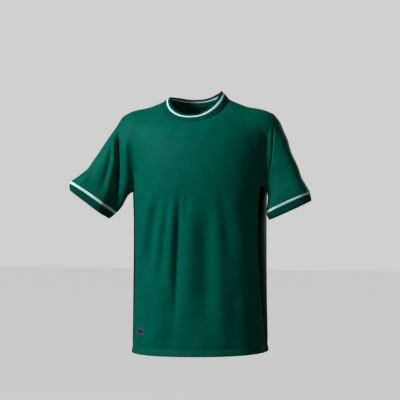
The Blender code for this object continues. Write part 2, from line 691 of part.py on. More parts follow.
def fold_height(x, z, rows):
    """The sum of the folds at x and z: each is a soft bump across its line that fades out at both ends."""
    total = np.zeros(np.shape(x))
    for x_top, z_top, x_mid, z_mid, x_foot, z_foot, half_top, half_foot, height in rows:
        t = (z_top - z) / (z_top - z_foot)
        bend = (z_top - z_mid) / (z_top - z_foot)
        off = (x_mid - (x_top + (x_foot - x_top) * bend)) / math.sin(math.pi * bend)
        inside = np.clip(t, 0.0, 1.0)
        line = x_top + (x_foot - x_top) * inside + off * np.sin(math.pi * inside)
        half = half_top + (half_foot - half_top) * inside
        fade = soft_step(t / 0.28) * soft_step((1 - t) / 0.35)
        total = total + height * fade * np.exp(-(((x - line) / half) ** 2))
    return total


def folded(points, normals, sleeve):
    """Points moved along their normals by the folds of the side that they face."""
    x = points[..., 0]
    z = points[..., 2]
    front = soft_step((-normals[..., 1] - 0.10) / 0.40)
    back = soft_step((normals[..., 1] - 0.10) / 0.40)
    arm = 1.0 if sleeve else soft_step((z - UNDERARM_Z) / 40.0)
    move = front * (fold_height(x, z, FRONT_FOLDS) + arm * fold_height(x, z, SLEEVE_FRONT_FOLDS))
    move = move + back * (fold_height(x, z, BACK_FOLDS) + arm * fold_height(x, z, SLEEVE_BACK_FOLDS))
    return points + move[..., None] * normals


def hem_thickness(heights, columns, rows_above):
    """The wall's thickness for each point of a panel, doubled where the hem is turned up."""
    row = np.full(rows_above + len(heights), WALL)
    row[rows_above:] = np.where(heights < HEM_Z + HEM_DEPTH, HEM_WALL, WALL)
    return np.repeat(row, columns)


def build(cap_rows=9, body_rows=11, hem_rows=1, front_columns=36, back_columns=24, arm_columns=(15, 10),
          strip_columns=(3, 2), ring_rows=5, cuff_rows=2, rib_columns=44):
    fractions = np.linspace(0, 1, cap_rows + 1)
    heights = levels(cap_rows, body_rows, hem_rows)
    t = np.linspace(-1, 1, front_columns + 1)
    front_spread = np.sin(0.28 * math.pi * t) / math.sin(0.28 * math.pi)
    t = np.linspace(-1, 1, back_columns + 1)
    back_spread = np.sin(0.3 * math.pi * t) / math.sin(0.3 * math.pi)

    panels = {}
    for name, front, spread in (("front", True, front_spread), ("back", False, back_spread)):
        p = half_panel_points(front, fractions, spread, heights)
        n = form_normal(p, True)
        panels[name] = (folded(p, n, False), n, p)
    strips = {}
    back_extra = {}
    for side in ("left", "right"):
        z = heights[:, None]
        nb, nn = strip_columns
        back_at = side_seam(side + "_back", heights)[:, None]
        front_at = side_seam(side + "_front", heights)[:, None]
        s = np.linspace(0, 1, nb + 1)[None, :]
        wrap = side_point(side, BACK_CORNER + (back_at - BACK_CORNER) * s, np.broadcast_to(z, (len(heights), nb + 1)))
        s = np.linspace(0, 1, nn + 1)[None, :]
        navy = side_point(side, back_at + (front_at - back_at) * s, np.broadcast_to(z, (len(heights), nn + 1)))
        column = -1 if side == "left" else 0
        wrap[:, 0] = panels["back"][2][cap_rows:, column]
        navy[:, -1] = panels["front"][2][cap_rows:, column]
        done = []
        for q in (wrap, navy):
            n = form_normal(q, True)
            first_normal = torso_normal(q[0])
            n[0] = first_normal
            done.append((q, n))
        (wrap, wrap_n), (navy, navy_n) = done
        wrap_n[:, 0] = panels["back"][1][cap_rows:, column]
        navy_n[:, -1] = panels["front"][1][cap_rows:, column]
        wrap_p = folded(wrap, wrap_n, False)
        navy_p = folded(navy, navy_n, False)
        wrap_p[:, 0] = panels["back"][0][cap_rows:, column]
        navy_p[:, -1] = panels["front"][0][cap_rows:, column]
        back_extra[side] = (wrap_p, wrap_n)
        strips[side] = (navy_p, navy_n)

    p, n, _ = panels["front"]
    columns = front_columns + 1
    wall("front", p, n, grid_faces(len(p), columns), hem_thickness(heights, columns, cap_rows), "green")

    p, n, _ = panels["back"]
    columns = back_columns + 1
    points = [p.reshape(-1, 3)]
    normals = [n.reshape(-1, 3)]
    thick = [hem_thickness(heights, columns, cap_rows)]
    faces = [tuple(reversed(f)) for f in grid_faces(len(p), columns)]
    for side in ("left", "right"):
        q, m = back_extra[side]
        start = sum(len(x) for x in points)
        extra = q.shape[1] - 1
        points.append(q[:, 1:].reshape(-1, 3))
        normals.append(m[:, 1:].reshape(-1, 3))
        thick.append(hem_thickness(heights, extra, 0))
        number = np.zeros((len(heights), extra + 1), int)
        edge = columns - 1 if side == "left" else 0
        number[:, 0] = (np.arange(len(heights)) + cap_rows) * columns + edge
        number[:, 1:] = start + np.arange(len(heights) * extra).reshape(len(heights), extra)
        for i in range(len(heights) - 1):
            for j in range(extra):
                f = (int(number[i, j]), int(number[i + 1, j]), int(number[i + 1, j + 1]), int(number[i, j + 1]))
                faces.append(tuple(reversed(f)) if side == "left" else f)
    wall("back", np.concatenate(points), np.concatenate(normals), faces, np.concatenate(thick), "green")

    for side in ("left", "right"):
        q, m = strips[side]
        faces = grid_faces(len(q), q.shape[1])
        wall("side_panel_" + side, q, m, faces, hem_thickness(heights, q.shape[1], 0), "navy")

    for side in ("left", "right"):
        lift = np.array((0.0, 0.0, 0.8))
        under = np.concatenate([back_extra[side][0][0, 1:], strips[side][0][0, 1:-1]]) + lift
        cap, rings = sleeve_points(side, fractions, arm_columns, under, ring_rows, cuff_rows)
        column = -1 if side == "left" else 0
        m = arm_columns[0] + arm_columns[1]
        cap_n = form_normal(cap, False)
        ring_n = grid_normals(rings, True)
        shell_n = grid_normals(np.concatenate([cap, rings[1:2, : m + 1]]), False)[: cap_rows + 1]
        outward = ring_n[2, arm_columns[0]]
        if outward[0] * (1 if side == "left" else -1) < 0:
            ring_n = -ring_n
        if shell_n[-1, arm_columns[0], 0] * (1 if side == "left" else -1) < 0:
            shell_n = -shell_n
        down = soft_step((FLAT_Z[0] - cap[..., 2:]) / (FLAT_Z[0] - FLAT_Z[1]))
        cap_n = cap_n + (shell_n - cap_n) * down
        cap_n /= np.linalg.norm(cap_n, axis=-1, keepdims=True)
        front_n = panels["front"][1][: cap_rows + 1, column]
        back_n = panels["back"][1][: cap_rows + 1, column]
        cap_n[:, 0] = front_n
        cap_n[:, -1] = back_n
        cap_p = folded(cap, cap_n, True)
        cap_p[:, 0] = panels["front"][0][: cap_rows + 1, column]
        cap_p[:, -1] = panels["back"][0][: cap_rows + 1, column]
        ring_n[0, : m + 1] = cap_n[-1]
        ring_n[0, m + 1 :] = (0.0, 0.0, -1.0)
        ring_p = folded(rings, ring_n, True)
        ring_p[0, : m + 1] = cap_p[-1]
        for j in (0, m):
            ring_p[0, j] += 1.4 * lift + 0.9 * ring_n[0, j]
            ring_p[0, j, 0] += 0.4 if side == "left" else -0.4
        arm_p = ring_p[: ring_rows + 1]
        arm_n = ring_n[: ring_rows + 1]
        points = np.concatenate([cap_p[:-1].reshape(-1, 3), arm_p.reshape(-1, 3)])
        normals = np.concatenate([cap_n[:-1].reshape(-1, 3), arm_n.reshape(-1, 3)])
        width = m + 1
        around = ring_p.shape[1]
        start = cap_rows * width
        faces = grid_faces(cap_rows, width)
        for j in range(m):
            a = (cap_rows - 1) * width
            faces.append((a + j, start + j, start + j + 1, a + j + 1))
        faces += grid_faces(ring_rows + 1, around, True, start)
        wall("sleeve_" + side, points, normals, faces, WALL, "green")
        for name, first, count, thickness, colour in (
            ("cuff_stripe_", ring_rows, 2, 2.2, "white"),
            ("cuff_", ring_rows + 1, cuff_rows + 1, RIB_WALL, "rib"),
        ):
            q = ring_p[first : first + count]
            k = ring_n[first : first + count]
            wall(name + side, q + k * (thickness - WALL) / 2, k, grid_faces(count, around, True), thickness, colour)

    bearing = np.linspace(0, 360, rib_columns, endpoint=False)
    outer = neckline(bearing)
    inner = collar_edge(bearing)
    for name, a, b in COLLAR_BANDS:
        rows = 3 if name == "collar_rib" else 2
        s = np.linspace(a, b, rows)[:, None, None]
        bulge = np.sin(math.pi * s) * 1.5
        base = outer[None] + (inner - outer)[None] * s
        n = grid_normals(np.array([outer, (outer + inner) / 2, inner]), True)[1]
        if n[0, 0] < 0:
            n = -n
        q = base + n[None] * (bulge + 0.4)
        wall(name, q, np.broadcast_to(n, q.shape), grid_faces(rows, rib_columns, True), RIB_WALL,
             "white" if name == "collar_stripe" else "rib")

    x0, z0 = LABEL_AT
    w, h = LABEL_SIZE
    x = x0 + np.linspace(-w / 2, w / 2, 4) * LABEL_LEAN
    q = np.array([seen_from(x, z, True) for z in np.linspace(z0 + h / 2, z0 - h / 2, 3)])
    n = form_normal(q, True)
    q = folded(q, n, False) + n * (SEAM_GAP + LABEL_WALL)
    wall("hem_label", q, n, grid_faces(3, 4), LABEL_WALL, "label")


def torso_normal(p):
    """The outward normal of the body alone."""
    n = np.zeros_like(p)
    for k in range(3):
        e = np.zeros(3)
        e[k] = 1.0
        n[..., k] = torso_gap(p + e) - torso_gap(p - e)
    return n / np.linalg.norm(n, axis=-1, keepdims=True)


def main():
    for thing in list(bpy.data.objects):
        bpy.data.objects.remove(thing, do_unlink=True)
    build()


main()
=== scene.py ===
"""Looks of a short-sleeved football jersey with raglan sleeves, in its worn form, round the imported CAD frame.

+Z is up, the front faces -Y and the wearer's left is +X. Shape tables are in millimetres, and objects are in
metres. Every panel is a grid of points on one smooth form, a body of level ovals blended with two arm tubes.
Below the underarm a sleeve goes on as tilted elliptical rings. Folds, seam grooves and a slight waviness move
the points along the normal.
"""

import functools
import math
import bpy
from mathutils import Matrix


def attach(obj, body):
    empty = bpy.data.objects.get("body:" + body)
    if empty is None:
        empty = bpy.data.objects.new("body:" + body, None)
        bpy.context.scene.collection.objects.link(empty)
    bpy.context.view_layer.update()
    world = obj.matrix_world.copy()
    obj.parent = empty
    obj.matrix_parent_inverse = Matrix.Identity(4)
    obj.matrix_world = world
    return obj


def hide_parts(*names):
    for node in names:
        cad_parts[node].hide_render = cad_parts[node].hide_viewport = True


bl_info = {
    "name": "Football jersey",
    "version": (1, 0, 0),
    "blender": (4, 5, 0),
    "location": "View3D > Sidebar > Jersey",
    "description": "Builds a worn raglan football jersey piece by piece, with its stage",
    "category": "Object",
}

import bpy
import numpy as np
from bpy.props import FloatProperty, FloatVectorProperty, PointerProperty
from mathutils import Vector

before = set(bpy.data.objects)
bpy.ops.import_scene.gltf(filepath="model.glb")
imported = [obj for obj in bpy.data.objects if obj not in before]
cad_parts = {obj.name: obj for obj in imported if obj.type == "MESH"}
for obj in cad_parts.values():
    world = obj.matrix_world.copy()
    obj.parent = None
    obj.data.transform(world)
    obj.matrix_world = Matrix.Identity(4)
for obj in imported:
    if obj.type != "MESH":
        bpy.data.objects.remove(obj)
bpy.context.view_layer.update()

MM = 0.001
SIDES = ("left", "right")
UNDERARM_Z = -238.0
HEM_Z = -685.0

# Body and arms merge over this distance, and the arms are this much flatter in depth than a round tube.
BLEND = 28.0
TUBE_FLAT = 1.12
# The panels' form ends its arms below this level, by this much for each millimetre down.
ARM_END_Z = UNDERARM_Z + 14.0
ARM_END_RATE = 2.0

# The neck's tilt, over this half-width, and the hem's, as rise over run. The body hangs to the left by the
# sway, which it reaches at this depth.
NECK_TILT = 0.036
NECK_TILT_HALF = 110.0
HEM_TILT = 0.022
SWAY = 10.0
SWAY_DEPTH = 250.0

# How a ray finds the form: its steps, finer ones for the long rays, and then halvings. Level rays start from
# this far out, and upright ones at this height, with this reach.
RAY_STEPS = 64
FINE_RAY_STEPS = 96
HALVINGS = 16
RAY_FROM_Y = 240.0
RAY_FROM_Z = 40.0
RAY_DOWN = 160.0

# The body's level sections: half-width, reach to the front and to the back, and squareness of the oval.
TORSO_COLUMNS = ("z", "half_width", "front", "back", "squareness")
TORSO = (
    (30.0, 56.0, 6.0, 20.0, 2.00),
    (0.0, 92.0, 26.0, 48.0, 2.00),
    (-13.0, 122.0, 39.0, 63.0, 2.00),
    (-24.0, 150.0, 48.5, 72.0, 2.00),
    (-35.5, 176.0, 57.0, 81.0, 2.02),
    (-47.5, 196.0, 68.0, 89.0, 2.05),
    (-63.0, 203.0, 80.5, 95.0, 2.08),
    (-85.0, 202.0, 93.0, 101.0, 2.10),
    (-120.0, 196.0, 107.0, 107.0, 2.12),
    (-160.0, 190.0, 117.0, 110.0, 2.16),
    (-200.0, 186.0, 123.0, 111.0, 2.20),
    (-245.0, 184.0, 125.0, 109.0, 2.25),
    (-330.0, 182.0, 124.0, 104.0, 2.25),
    (-420.0, 182.0, 123.0, 101.0, 2.25),
    (-520.0, 183.0, 124.0, 103.0, 2.25),
    (-620.0, 184.5, 126.0, 107.0, 2.25),
    (-700.0, 185.5, 128.0, 110.0, 2.25),
)

# The arm tubes inside the shoulders, from the top down: each row is a centre's x, y and z and the radius.
TUBES = {
    "left": ((176.0, 2.0, -93.0, 60.0), (231.3, -10.0, -219.8, 51.0), (262.0, -20.0, -300.0, 51.0)),
    "right": ((-161.0, 2.0, -100.0, 70.0), (-240.5, -18.0, -199.5, 66.0), (-310.0, -50.0, -285.0, 70.0)),
}

# Where the raglan seams run, seen from the front and from the back: each row is a height z and the distance x
# from the middle there. They start on the neckline at so many degrees round from the side towards the front.
RAGLAN_FRONT = (
    (-39.0, 121.0), (-57.0, 149.0), (-84.0, 168.0), (-103.0, 176.0), (-131.0, 181.0), (-171.0, 179.0),
)
RAGLAN_BACK = (
    (-20.0, 98.0), (-40.0, 128.0), (-75.0, 152.0), (-110.0, 165.0), (-150.0, 173.0), (-200.0, 175.0),
)
RAGLAN_NECK_FRONT = 28.0
RAGLAN_NECK_BACK = -47.0

# The top line of each shoulder and the outer line of each sleeve down to the level of the underarm, as x, y
# and z.
CREST = {
    "left": (
        (91.0, -9.0, -2.0),
        (124.0, -5.0, -13.0),
        (151.0, -2.0, -23.0),
        (179.0, 0.0, -34.0),
        (207.0, 0.0, -45.0),
        (223.5, 0.0, -58.0),
        (230.0, 0.0, -82.0),
        (252.0, -4.0, -138.0),
        (277.5, -9.0, -199.6),
    ),
    "right": (
        (-91.0, -9.0, -2.0),
        (-124.0, -5.0, -13.0),
        (-151.0, -2.0, -23.0),
        (-179.0, 0.0, -34.0),
        (-206.0, 0.0, -45.0),
        (-225.0, 0.0, -58.0),
        (-239.0, -2.0, -78.0),
        (-265.0, -8.0, -122.0),
        (-299.5, -18.0, -158.0),
    ),
}

# The sleeves' rings below the underarm: centre, the four reaches, the rise of the outer side above level,
# the turn about the vertical and how far the front leans up the arm, in degrees. The last three rows end
# the sleeve, the stripe and the cuff.
RING_COLUMNS = ("at", "x", "y", "z", "outer", "inner", "front", "back", "rise", "turn", "lean")
RINGS = {
    "left": (
        (0.00, 230.3, -10.0, -219.8, 50.5, 46.0, 54.0, 56.0, 22.0, 2.0, 0.0),
        (0.50, 235.5, -17.5, -252.0, 59.4, 50.0, 52.0, 52.0, 23.0, 6.0, 1.0),
        (1.00, 240.5, -23.5, -283.5, 66.8, 61.0, 46.0, 46.0, 23.3, 10.0, 3.0),
        (1.10, 243.2, -24.3, -289.9, 66.0, 61.0, 45.0, 45.0, 23.3, 10.0, 3.0),
        (1.40, 249.9, -26.0, -305.4, 62.0, 61.0, 42.0, 42.0, 23.3, 10.0, 1.0),
    ),
    "right": (
        (0.00, -243.5, -18.0, -198.5, 72.5, 66.0, 54.0, 56.0, 35.0, 2.0, 0.0),
        (0.50, -268.5, -30.5, -227.0, 68.5, 79.0, 50.0, 52.0, 35.0, 5.0, 4.0),
        (0.80, -282.5, -37.5, -246.0, 71.5, 81.5, 42.0, 44.0, 35.2, 7.0, 8.0),
        (1.00, -290.0, -41.0, -257.2, 75.5, 75.5, 38.0, 38.0, 35.4, 8.0, 11.0),
        (1.10, -294.1, -42.4, -262.9, 74.6, 74.6, 37.0, 37.0, 35.4, 8.0, 11.0),
        (1.40, -301.0, -45.7, -277.6, 67.0, 66.6, 35.0, 35.0, 37.2, 8.0, 4.0),
    ),
}
STRIPE_AT = (1.0, 1.1)
CUFF_AT = (1.1, 1.4)

# How far each sleeve stands off the body below the underarm, at the seam itself and at the cuff. Behind
# CLEAR_FROM_Y it is more by this much for each millimetre, over CLEAR_REACH at most. Points are moved softly.
SLEEVE_CLEAR = {"left": 6.0, "right": 16.0}
SEAM_CLEAR = 0.8
CUFF_CLEAR = {"left": 6.0, "right": 8.0}
CLEAR_BACKWARD = 0.07
CLEAR_FROM_Y = -50.0
CLEAR_REACH = 120.0
CLEAR_SOFT = 6.0
# The underarm strip takes up this many degrees to each side of the ring's inner end, and its first row lies
# this much above the body's. The rings take over from that row by this place. They are eased in so many
# rounds, with a weight that falls to nothing at the sleeve's end by this power, and have their whole
# clearance from this place on.
UNDERARM_OPEN = 26.0
UNDERARM_LIFT = 0.8
RING_TAKES_OVER = 0.75
EASE_ROUNDS = 180
EASE_POWER = 0.7
CLEAR_WHOLE = 0.5

# A cap row's rays: how many to each half, their reach, where they start on the line from the seams' middle to
# the crest, at the neck and how much further at the underarm, and how much longer than usual a ray may be.
CAP_RAYS = 90
CAP_REACH = 260.0
CAP_START = (-1.2, 1.7)
CAP_LONGEST = 1.2

# The neckline seen from above, the collar's inner edge, that edge's height from back to front, and how much
# higher it stands at the wearer's left.
NECK_HALF_WIDTH = 91.0
NECK_FRONT = 80.0
NECK_BACK = 62.0
NECK_FULLNESS = 0.87
EDGE_HALF_WIDTH = 70.0
EDGE_FRONT = 68.0
EDGE_BACK = 52.0
EDGE_COLUMNS = ("toward_front", "z")
EDGE_LIFT = 11.0
EDGE_HEIGHT = ((-1.0, 9.0), (-0.6, 14.0), (0.0, 13.0), (0.4, -3.0), (0.7, -20.0), (0.9, -34.0), (1.0, -42.0))

# The side seams below the underarm, as degrees round from the side towards the front, and the corner at which
# the back's own grid ends and its wrap round the side begins.
SIDE_COLUMNS = ("z", "left_front", "left_back", "right_front", "right_back")
SIDE_SEAMS = (
    (-238.0, 16.5, 8.5, 16.5, 8.5),
    (-300.0, 19.0, 10.5, 16.0, 7.0),
    (-380.0, 19.0, 10.7, 17.0, 4.0),
    (-460.0, 17.5, 7.5, 17.0, 1.0),
    (-567.0, 14.0, 0.5, 15.0, -3.0),
    (-645.0, 9.5, -5.0, 14.0, -5.0),
    (-700.0, 7.5, -7.0, 14.0, -6.0),
)
BACK_CORNER = -18.0

# Folds. Each row has x and z of the fold's top, of its bend and of its foot, its half-width at the top and at
# the foot, and its height, which is minus for a trough.
FRONT_FOLDS = (
    (-114.0, -243.0, -131.0, -336.0, -159.0, -453.0, 12.0, 12.0, 4.0),
    (-93.0, -238.0, -109.0, -337.0, -131.0, -497.0, 14.0, 15.0, -6.0),
    (-73.0, -250.0, -88.0, -337.0, -109.0, -510.0, 11.0, 12.0, 3.0),
    (-62.0, -244.0, -71.0, -337.0, -88.0, -496.0, 11.0, 11.0, -2.5),
    (-48.0, -240.0, -54.0, -337.0, -68.0, -549.0, 12.0, 14.0, 6.5),
    (-34.0, -229.0, -39.0, -377.0, -48.0, -641.0, 8.5, 9.5, -6.5),
    (-13.0, -240.0, -13.0, -290.0, -13.0, -340.0, 7.0, 7.0, -1.2),
    (3.0, -246.0, -4.0, -364.0, -7.0, -614.0, 18.0, 25.0, 6.0),
    (42.0, -260.0, 40.0, -378.0, 40.0, -640.0, 21.0, 24.0, -6.0),
    (64.0, -237.0, 66.0, -405.0, 80.0, -672.0, 17.0, 20.0, 3.0),
    (77.0, -232.0, 88.0, -340.0, 102.0, -448.0, 13.0, 14.0, -2.2),
    (104.0, -248.0, 124.0, -354.0, 139.0, -473.0, 12.0, 16.0, 1.5),
    (-118.0, -470.0, -96.0, -590.0, -93.0, -690.0, 20.0, 24.0, 3.5),
    (-65.0, -520.0, -56.0, -601.0, -56.0, -690.0, 18.0, 22.0, -3.0),
    (109.0, -480.0, 110.0, -603.0, 110.0, -690.0, 20.0, 22.0, -1.8),
    (-164.0, -173.0, -147.0, -215.0, -118.0, -269.0, 11.0, 13.0, -2.5),
    (166.0, -191.0, 154.0, -239.0, 139.0, -297.0, 11.0, 13.0, -2.5),
)
BACK_FOLDS = (
    (-120.0, -200.0, -112.0, -380.0, -100.0, -600.0, 16.0, 18.0, -5.0),
    (-85.0, -190.0, -80.0, -360.0, -72.0, -560.0, 16.0, 20.0, 5.0),
    (-45.0, -230.0, -48.0, -420.0, -52.0, -640.0, 14.0, 18.0, -6.0),
    (-10.0, -210.0, -6.0, -400.0, 2.0, -620.0, 15.0, 18.0, 5.0),
    (30.0, -240.0, 28.0, -400.0, 24.0, -600.0, 13.0, 17.0, -5.0),
    (62.0, -200.0, 66.0, -380.0, 74.0, -600.0, 15.0, 20.0, 5.0),
    (100.0, -210.0, 104.0, -380.0, 108.0, -560.0, 15.0, 17.0, -5.0),
    (136.0, -300.0, 138.0, -440.0, 136.0, -620.0, 14.0, 18.0, 4.0),
)
SLEEVE_FRONT_FOLDS = (
    (-215.0, -62.0, -213.0, -173.0, -219.0, -300.0, 3.0, 9.0, -15.0),
    (-220.0, -155.0, -226.0, -240.0, -240.0, -350.0, 7.0, 28.0, -18.0),
    (-228.0, -76.0, -225.0, -155.0, -264.0, -300.0, 4.0, 9.0, 5.0),
    (-231.0, -100.0, -238.0, -159.0, -268.0, -256.0, 5.0, 10.0, -5.0),
    (-263.0, -125.0, -278.0, -172.0, -296.0, -220.0, 8.0, 10.0, -1.6),
    (-270.0, -135.0, -297.0, -184.0, -320.0, -236.0, 9.0, 12.0, 1.6),
    (-190.0, -82.0, -190.0, -170.0, -193.0, -262.0, 10.0, 17.0, 11.0),
    (212.0, -60.0, 201.0, -125.0, 187.0, -234.0, 1.8, 2.4, 1.5),
    (221.0, -62.0, 213.0, -140.0, 195.0, -246.0, 1.8, 2.4, 1.5),
    (216.0, -78.0, 208.0, -142.0, 194.0, -232.0, 3.0, 4.0, -5.5),
    (200.0, -78.0, 192.0, -141.0, 178.0, -236.0, 7.0, 10.0, -6.0),
    (185.0, -74.0, 183.0, -184.0, 182.0, -321.0, 9.0, 15.0, -6.0),
)
SLEEVE_BACK_FOLDS = (
    (212.0, -90.0, 214.0, -150.0, 216.0, -270.0, 10.0, 14.0, -9.0),
    (238.0, -110.0, 246.0, -180.0, 256.0, -270.0, 11.0, 13.0, 5.0),
    (-210.0, -85.0, -220.0, -150.0, -240.0, -280.0, 10.0, 16.0, -10.0),
    (-246.0, -100.0, -264.0, -160.0, -290.0, -250.0, 11.0, 14.0, 5.0),
)

# A fold fades in and out over these shares of its length. Folds of the front and back act where the cloth
# faces that way: from none to all between these parts of its normal. The sleeves' folds die away on the body
# over this distance above the underarm.
FOLD_FADE = (0.28, 0.35)
FACING = (0.10, 0.50)
SLEEVE_FOLD_END = 40.0

# How many rows and columns each grid has: about 3 mm from point to point. The sleeves' are doubled once more.
CAP_ROWS = 66
BODY_ROWS = 150
FRONT_COLUMNS = 136
BACK_COLUMNS = 116
WRAP_COLUMNS = 18
PANEL_COLUMNS = 14
ARM_COLUMNS = (56, 42)
SLEEVE_ROWS = 30
CUFF_ROWS = 5
# The sleeves' rows near the underarm are eased in so many rounds, all but the seams: less and less up to
# UNDERARM_EDGE times UNDERARM_ROWS away.
UNDERARM_ROWS = 16
UNDERARM_EDGE = 1.2
UNDERARM_ROUNDS = 36
# The columns of the front and back are closer together towards the sides: a sine wave's share of half a turn.
FRONT_BOW = 0.28
BACK_BOW = 0.30

# The sleeves hang flatter in front and behind than a tube does: see flattened(). That sets in between these
# two heights, and over these shares of the columns from the front and the back seam. Below the underarm it
# takes in the underarm strip between these two places.
FLAT_EDGE = 1.4
FLAT_FACE = 0.85
FLAT_Z = (-50.0, -130.0)
FLAT_SEAM_SHARES = (0.22, 0.7)
FLAT_STRIP = (0.2, 0.8)
# How far the arm bends forward at the underarm, and from which share of the cap down.
FORWARD = {"left": 5.0, "right": 0.0}
FORWARD_FROM = 0.4

# Seams: the groove's depth and half-width, the columns set in beside an edge, as shares of one step, and the
# small puckers that run along it, with how unevenly they come: by how much of a radian and how often.
GROOVE = 0.7
GROOVE_HALF = 2.2
EDGE_STEPS = (0.25, 0.5, 0.75)
PUCKER = 0.22
PUCKER_PITCH = 9.0
PUCKER_REACH = 7.0
PUCKER_UNEVEN = 1.7
PUCKER_UNEVEN_LENGTH = 23.0
# From this many rows below the underarm on, a sleeve has one seam, down the middle of the underarm strip.
STRIP_SEAM_ROWS = 4

# The hem's two stitch rows above the hem, how deep the stitching pulls the cloth in, and how far the hem
# stands out below them.
HEM_ROWS_UP = (16.5, 22.0)
HEM_PULL = 1.3
HEM_FLARE = 2.0
HEM_PULL_HALF = 2.0

# The rib knit: from rib to rib, a rib's height and its points. A band's section has so many points, on an
# oval squared by these powers, is this thick and stands this far off the sheet that it follows.
RIB_PITCH = 2.4
RIB_RELIEF = 0.22
RIB_POINTS = 4
BAND_TURNS = 20
BAND_POWERS = (0.3, 0.5)
BAND_WALL = 2.4
BAND_OFF = 0.5
# The collar's bands: CAD node, piece, and start and end as shares of the way in from the seam. Then its
# columns before they are spread over the ribs, its rows to a band and how far it bulges.
COLLAR_BANDS = (
    ("collar_rib", "neck_rib", 0.0, 0.55),
    ("collar_stripe", "neck_stripe", 0.55, 0.75),
    ("collar_edge", "neck_edge", 0.75, 1.0),
)
COLLAR_COLUMNS = 720
COLLAR_ROWS = 5
COLLAR_BULGE = 1.5

# The label: middle, size, how much its turned place on the side narrows it, wall, how square its corners are,
# rows and columns, and its cloth's share of the wall.
LABEL_AT = (-148.0, -623.0)
LABEL_SIZE = (32.0, 16.5)
LABEL_LEAN = 0.78
LABEL_WALL = 0.8
LABEL_ROUND = 7.0
LABEL_GRID = (48, 84)
LABEL_CLOTH = 0.6
# Its stitches: their length, how many columns in from its ends they are and how many rows they leave.
LABEL_STITCH = 1.6
LABEL_STITCH_IN = 4
LABEL_STITCH_LEAVE = 4
# Its woven border: how far its middle is in from the edge, half its width inside and outside its soft side,
# how softly it turns the corners, and the weft's pitch.
BORDER_IN = 1.3
BORDER_HALF = (0.35, 0.5)
BORDER_CORNER = 1.5
WEFT_PITCH = 0.5

# Stitch rows below the collar seam and above the cuff stripes. One stitch: sections, sides, share of its
# pitch, and how high it arches and how deep it lies, in thicknesses of the thread.
COLLAR_ROW_DOWN = 3.2
CUFF_ROW_UP = 3.2
STITCH_SECTIONS = 6
STITCH_SIDES = 6
STITCH_SHARE = 0.84
STITCH_ARCH = 0.55
STITCH_DEPTH = 0.1

# The knit: a wale's width, a loop's height as a share of it, how steep its V is and how sharply a wale falls
# at its edges. The dye's unevenness: patches to the metre, the noise's used range and the shades at its ends.
WALE = 1.2
LOOP_HEIGHT = 0.8
LOOP_SLANT = 1.4
WALE_FALL = 3.0
KNIT_BUMP = 0.0003
DYE_SCALE = 28.0
DYE_RANGE = (0.3, 0.7)
DYE_SHADES = (0.93, 1.07)
# The thread's ply pitch, and the height of its and the label's bumps, in metres.
PLY = 0.9
FINE_BUMP = 0.0001

# Colours that light takes on from the green cloth, in its gloss and along its soft edges, and from the navy
# cloth in its gloss, and the backdrop's pale grey.
GLOSS = "#08C9B0"
SOFT_EDGE = "#08B8A0"
NAVY_GLOSS = "#7C8AA8"
BACKDROP = "#CFD0CF"

# The body's cloth pieces: CAD node, piece, finish, slot, flat size and area of its cut in metres.
BODY_CLOTHS = (
    ("front", "front_cloth", "green", "green_knit", (0.442, 0.70), 0.255),
    ("back", "back_cloth", "green", "green_knit", (0.533, 0.72), 0.301),
    ("side_panel_left", "side_cloth_left", "navy", "navy_knit", (0.048, 0.452), 0.0156),
    ("side_panel_right", "side_cloth_right", "navy", "navy_knit", (0.065, 0.45), 0.0213),
)
SLEEVE_CUTS = {"left": ((0.405, 0.367), 0.0772), "right": ((0.503, 0.376), 0.0903)}
# The cuffs' bands: start of the piece's and of the node's name, first row and rows, finish and slot.
CUFF_BANDS = (
    ("cuff_stripe_cloth_", "cuff_stripe_", 0, 2, "white", "white_knit"),
    ("cuff_cloth_", "cuff_", 1, CUFF_ROWS + 1, "rib", "green_rib"),
)
# A band's cut is taken as at least this wide, in millimetres.
LEAST_CUT = 10.0

# The stage, in metres and degrees: the floor, what the camera and lamps aim at, and the lamps, each with its
# width, its way round from the front and up, its distance and its colour.
FLOOR_Z = -1.42
FLOOR_HALF = 14.0
AIM = (0.010, 0.0, -0.272)
LAMPS = (
    ("key", 0.85, -54.0, 30.0, 3.4, "#EEF8FF"),
    ("fill", 2.0, 26.0, 10.0, 2.6, "#F4F8FF"),
    ("rim", 1.4, 150.0, 12.0, 2.0, "#C8FFF0"),
)


def linear(text):
    """An sRGB hex colour as linear red, green and blue."""
    channels = [int(text[i : i + 2], 16) / 255 for i in (1, 3, 5)]
    return tuple(c / 12.92 if c <= 0.04045 else ((c + 0.055) / 1.055) ** 2.4 for c in channels)


class JerseyCloth(bpy.types.PropertyGroup):
    """Sizes and colours of the cloth"""

    thickness: FloatProperty(
        name="Cloth thickness", description="Thickness of the knit", default=0.0011, unit="LENGTH",
        precision=4,
    )
    folds: FloatProperty(
        name="Folds", description="Share of the folds' full height", default=1.0, subtype="FACTOR",
        min=0, max=1.5,
    )
    waviness: FloatProperty(
        name="Waviness", description="Height of the cloth's slight waviness", default=0.0005, unit="LENGTH",
        precision=4,
    )
    green: FloatVectorProperty(
        name="Green knit", description="Colour of the panels and sleeves", default=linear("#005D4B"),
        subtype="COLOR",
    )
    rib_green: FloatVectorProperty(
        name="Green rib", description="Colour of the collar and cuffs", default=linear("#01463A"),
        subtype="COLOR",
    )
    navy: FloatVectorProperty(
        name="Navy knit", description="Colour of the side panels", default=linear("#0A0E1A"), subtype="COLOR"
    )
    white: FloatVectorProperty(
        name="White rib", description="Colour of the collar and cuff stripes", default=linear("#E0FFF8"),
        subtype="COLOR",
    )


